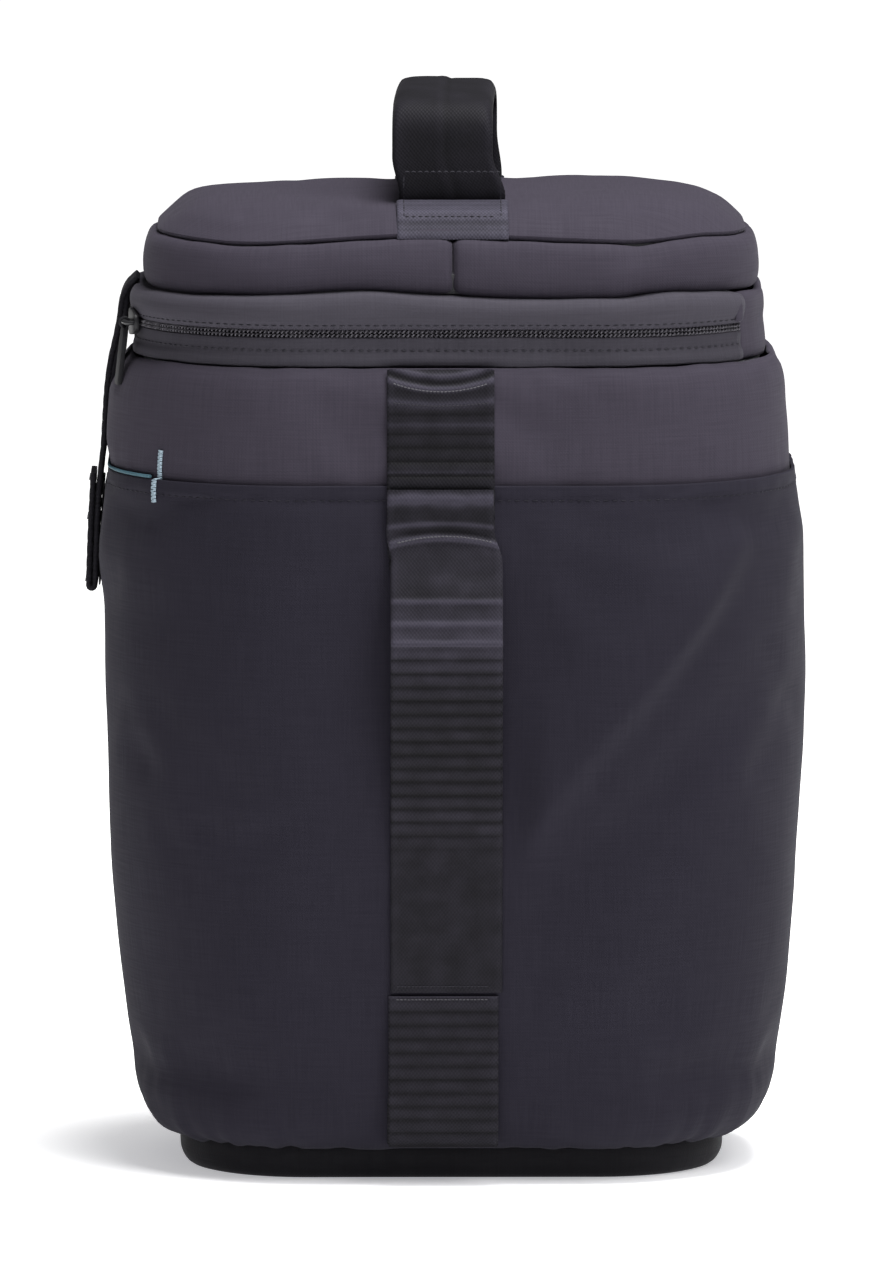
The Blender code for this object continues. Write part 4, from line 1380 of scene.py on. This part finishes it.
def makeWebbing():
    out = strip["gap"] + strip["thick"] / 2
    over = out + strip["thick"] + strip["gap"]
    strap = strapOf("front_strip", [offSkin(z, out) for z in strip["heights"]], (1, 0, 0), strip["wide"],
                    strip["thick"] - 0.4, stripRelief, lean=lambda along, z: strip["aside"], paintedLight=stripPaintedLight)
    grab = strapOf("front_grab_strap", [offSkin(z, over + bow) for z, bow in strip["grab"]], (1, 0, 0),
                   lambda along, z: 38.0 - 1.8 * smooth(z, 212, 232), strip["thick"] - 0.4, grabRelief,
                   lean=lambda along, z: strip["aside"] + 1.9 - 2.1 * smooth(z, 216, 226), paintedLight=grabPaintedLight)
    low = strapOf("front_low_strap", [offSkin(z, over + bow) for z, bow in strip["low"]], (1, 0, 0), 37.4,
                  strip["thick"] - 0.4, lowRelief, lean=lambda along, z: strip["aside"] + 0.9, paintedLight=lowPaintedLight)
    for obj, front, back in ((strap, "front_webbing", "back_webbing"), (grab, "front_grab_loop", "back_grab_loop"),
                             (low, "front_low_loop", "back_low_loop")):
        stand(obj, "body", webbing, "webbing", front)
        stand(turnedCopy(obj, obj.name.replace("front", "back")), "body", webbing, "webbing", back)
    # The grey rows at the crest, the shoulder and the low tack sit on folds that catch the light: their pale thread is
    # painted highlight.
    tackRows = (
        ("front_tack_crest", grab, 224.3, 2.6, 1.4, greyThread, 0.28),
        ("front_tack_low", low, 65.4, 0.0, 0.9, greyThread, 0.2),
        ("front_tack_foot", grab, 70.0, 0.0, 1.0, darkThread, 0.2),
        ("front_tack_shoulder", strap, 272.9, -3.4, 0.0, greyThread, 0.24),
        ("front_tack_yoke", strap, 268.0, -1.4, 0.0, darkThread, 0.24),
    )
    for name, piece, z, bow, drift, thread, radius in tackRows:
        tree = surfaceOf(piece)
        drops = [Vector((share * 18 + strip["aside"] + drift, -140, z - bow * share * share))
                 for share in spread(-0.9, 0.9, 0.06)]
        row = stitches(name, laidOn(tree, drops, (0, 1, 0)), pitch=1.25, length=1.15, radius=radius, proud=0.14)
        stand(row, "body", thread, "webbing")
        stand(turnedCopy(row, name.replace("front", "back")), "body", thread, "webbing")


makeWebbing()
print("webbing made")


handle = {
    "foot": 48.0, "thick": 3.4, "wide": 34.2, "top": gripHigh.z + 1.4,
    "aside": -2.0, "askew": 0.028, "round": 3.4,            # it leans and twists a little, with rounded shoulders
}


def handleRelief(share, along, z, face):
    fold = -0.6 * bump(share, -0.05, 0.045) + 0.45 * bump(share, 0.04, 0.05)
    edge = 0.25 * bump(abs(share), 0.9, 0.06)
    wavy = ripple(share * 17, along, 13, 7.1) * 0.3
    return fold + edge + wavy


def makeHandle():
    seamDepth = lid["seamHalf"] - plan["coreX"] + plan["coreY"]
    upright = handle["foot"] + 0.7
    top = handle["top"] - handle["thick"] / 2
    footZ = crownZ(seamDepth - handle["foot"]) + 0.5
    side = [(handle["foot"] - 0.4, footZ), (handle["foot"] + 0.2, footZ + 3), (handle["foot"] + 0.6, 343),
            (upright, 351), (upright, 358.5), (upright - 1.6, 363), (upright - 5.3, 366.2), (upright - 11.7, 368.0),
            (upright - 24.7, top - 0.1)]
    path = [Vector((0, -y, z)) for y, z in side] + [Vector((0, y, z)) for y, z in reversed(side)]
    # The strap runs up the front and down the back, so its outer face is away from the hand's gap.
    strap = strapOf("handle_strap", path, (-1, 0, 0), lambda along, z: handle["wide"] + 2.0 * (1 - smooth(z, 336, 352)),
                    handle["thick"] - 0.9, handleRelief, step=1.0)
    marks = strap.data.attributes["cloth"].data
    for vert in strap.data.vertices:
        share = marks[vert.index].vector.x / (handle["wide"] / 2)
        x, y, z = vert.co / mm
        risen = smooth(z, footZ + 2, footZ + 16)
        vert.co.x += (handle["aside"] + handle["askew"] * y) * risen * mm
        vert.co.z += (0.5 * smooth(share, -0.15, 0.05) - handle["round"] * abs(share) ** 10) * smooth(z, 352, 367) * mm
    wear(strap, handleWebbing)
    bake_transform(strap)
    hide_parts("handle_grip", "handle_foot_front", "handle_foot_back")
    patch = [Vector((0, -(seamDepth - inset), crownZ(inset) + 1.3)) for inset in (19.4, 15, 10, 6, 3.2, 1.0)]
    patch.append(Vector((0, -(seamDepth - 0.1), crownZ(0.4) + 0.2)))

    def patchRelief(share, along, z, face):
        return (ribs(along * 1.4, 0.16) + 0.25 * bump(along, 12, 3) - 0.3 * bump(along, 17.5, 1.2)
                + 0.15 * bump(abs(share), 0.93, 0.05)) * (1 if face > 0 else 0.4)

    anchor = strapOf("handle_anchor_front_patch", patch, (1, 0, 0), 38.0, 1.0, patchRelief, step=0.7)
    stand(anchor, "lid", anchorWebbing, "webbing", "handle_anchor_front")
    back = turnedCopy(anchor, "handle_anchor_back_patch")
    stand(back, "lid", anchorWebbing, "webbing", "handle_anchor_back")
    tree = surfaceOf(anchor)
    rows = []
    for inset in (2.0, 17.0):
        drops = [Vector((x, -(seamDepth - inset), 345)) for x in spread(-16.5, 16.5, 1.2)]
        rows.append(laidOn(tree, drops, (0, 0.25, -1)))
    for x in (-16.5, 16.5):
        drops = [Vector((x, -(seamDepth - inset), 345)) for inset in spread(2.0, 17.0, 1.2)]
        rows.append(laidOn(tree, drops, (0, 0.25, -1)))
    made = [stitches(f"box{i}", row, pitch=2.2, length=1.7, radius=0.25) for i, row in enumerate(rows)]
    box = joinedMesh("handle_box_stitch_front", made)
    stand(box, "lid", darkThread, "webbing")
    stand(turnedCopy(box, "handle_box_stitch_back"), "lid", darkThread, "webbing")


makeHandle()
print("handle made")


closure = {"wide": 25.0, "thick": 2.25, "tabHigh": 238.0}


def makeClosure():
    half = closure["thick"] / 2
    left = [(-107.6, 305.4), (-110.9, 301.8), (-112.9, 297.4), (-114.0, 290), (-115.4, 283), (-117.1, 275.5),
            (-118.2, 267.3), (-118.9, 257), (-119.5, 247), (-120.3, 240)]
    for z in (229, 218, 208, 201):
        left.append((-wallHalf(z) - 2.1 - half, z))
    out = wallHalf(198) + 2.1 + closure["thick"]
    left += [(-out + 0.9, 198.7), (-out, 198.1), (-out - 0.9, 198.7)]
    for z in (201, 208, 218, 229, closure["tabHigh"]):
        left.append((-wallHalf(z) - 2.1 - 3 * half + 0.1, z))
    path = [Vector((x, 0, z)) for x, z in left]

    def relief(share, along, z, face):
        return ribs(along, 0.1) - 0.1

    strap = strapOf("closure_strap_webbing", path, (0, 1, 0), closure["wide"], closure["thick"], relief)
    stand(strap, "closure", webbing, "webbing", "closure_strap")
    root = [Vector((x, 0, z)) for x, z in (
        (-109.6, 303.2), (-111.7, 299.5), (-112.1, 295), (-112.2, 290), (-113.2, 283.5), (-115.2, 276.5),
        (-116.9, 269), (-117.8, 262))]
    doubled = strapOf("closure_strap_root", root, (0, 1, 0), closure["wide"] - 1.0, 3.2, relief)
    stand(doubled, "closure", webbing, "webbing")
    tree = surfaceOf(strap)
    rows = []
    for z in (235.5, 222.0, 200.5):
        drops = [Vector((-128, y, z)) for y in spread(-11, 11, 1.0)]
        rows.append(laidOn(tree, drops, (1, 0, 0)))
    made = [stitches(f"tab{i}", row, pitch=2.0, length=1.6, radius=0.24) for i, row in enumerate(rows)]
    stand(joinedMesh("closure_tab_stitch", made), "closure", greyThread, "webbing")
    for name, body, near, depth, wide in (("hook_patch", "closure", 1.4, 0.6, 22.0),
                                          ("loop_patch", "body", 0.35, 0.6, 24.0)):
        rows = [Vector((-wallHalf(z) - near - depth / 2, 0, z)) for z in (199.2, 208, 218, 228, 235.8)]
        fuzz = lambda share, along, z, face: noise.noise(Vector((share * 30, along * 2.4, near))) * 0.12
        patch = strapOf(name + "_pile", rows, (0, -1, 0), wide, depth, fuzz)
        stand(patch, body, hookTape, "hook_and_loop", name)


makeClosure()
print("closure made")


pocket = {"angle": 51.5, "tackLow": 233.5, "tackHigh": 250.5}


def makePocket():
    start, stop = runAt(90 + pocket["angle"]), runAt(270 - pocket["angle"])
    seam = wall["seamZ"]
    piping = [onPlan(run, wallHalf(seam) + 0.15, seam + 0.75) for run in spread(start, stop, 2.0)]
    stand(tubeOf("pocket_piping", piping, 0.55, sides=8), "body", bindingThread, "bar_tack_thread", "pocket_binding")
    lining = sheetOf("pocket_lining_cloth", [(wallHalf(z) - 2.2, z) for z in spread(130, 229.4, 6)],
                     spread(start, stop, 5))
    pushOut(lining, lambda run, rise, place: leftDraw(run, place.z) - abs(ripple(run, place.z, 20, 2)) * 0.3 - 0.8)
    thicken(lining, 0.6)
    stand(lining, "body", sleeveCloth, "sleeve_fabric", "pocket_lining")
    tree = surfaceOf(sleevePiece, yokePiece)
    for side, degrees in (("front", 272.4 - pocket["angle"]), ("back", 87.6 + pocket["angle"])):
        middle = runAt(degrees)
        threads = []
        heights = spread(pocket["tackLow"], pocket["tackHigh"], 0.62)
        for i, z in enumerate(heights):
            kink = 0.45 if z > seam else -0.25
            path = []
            for across in (-0.95, -0.5, 0, 0.5, 0.95):
                run = middle + across + kink * (1 if side == "front" else -1)
                drop = onPlan(run, wallHalf(z) + 8, z + 0.12 * across * (-1) ** i)
                place, normal = settled(tree, drop, -outward(run))
                bow = 1 - (across / 0.95) ** 2
                path.append(place + normal * (0.1 + 0.45 * bow))
            threads.append(tubeOf(f"thread{i}", path, 0.33, sides=6))
        tack = joinedMesh(f"pocket_bar_tack_{side}", threads)
        stand(tack, "body", blueThread, "bar_tack_thread", f"pocket_tack_{side}")


makePocket()


def makeHemStitches():
    tree = surfaceOf(sleevePiece)
    runs = spread(backMiddle, backMiddle + around, 2.4)
    z = wall["seamZ"] - sleeve["hem"]
    path = [settled(tree, onPlan(run, wallHalf(z) + 6, z), -outward(run), 0.04) for run in runs]
    row = stitches("sleeve_hem_stitch", path, pitch=3.0, length=2.2, radius=0.17, proud=0.06)
    stand(row, "body", hemThread, "sleeve_fabric")


makeHemStitches()
print("pocket and stitching made")
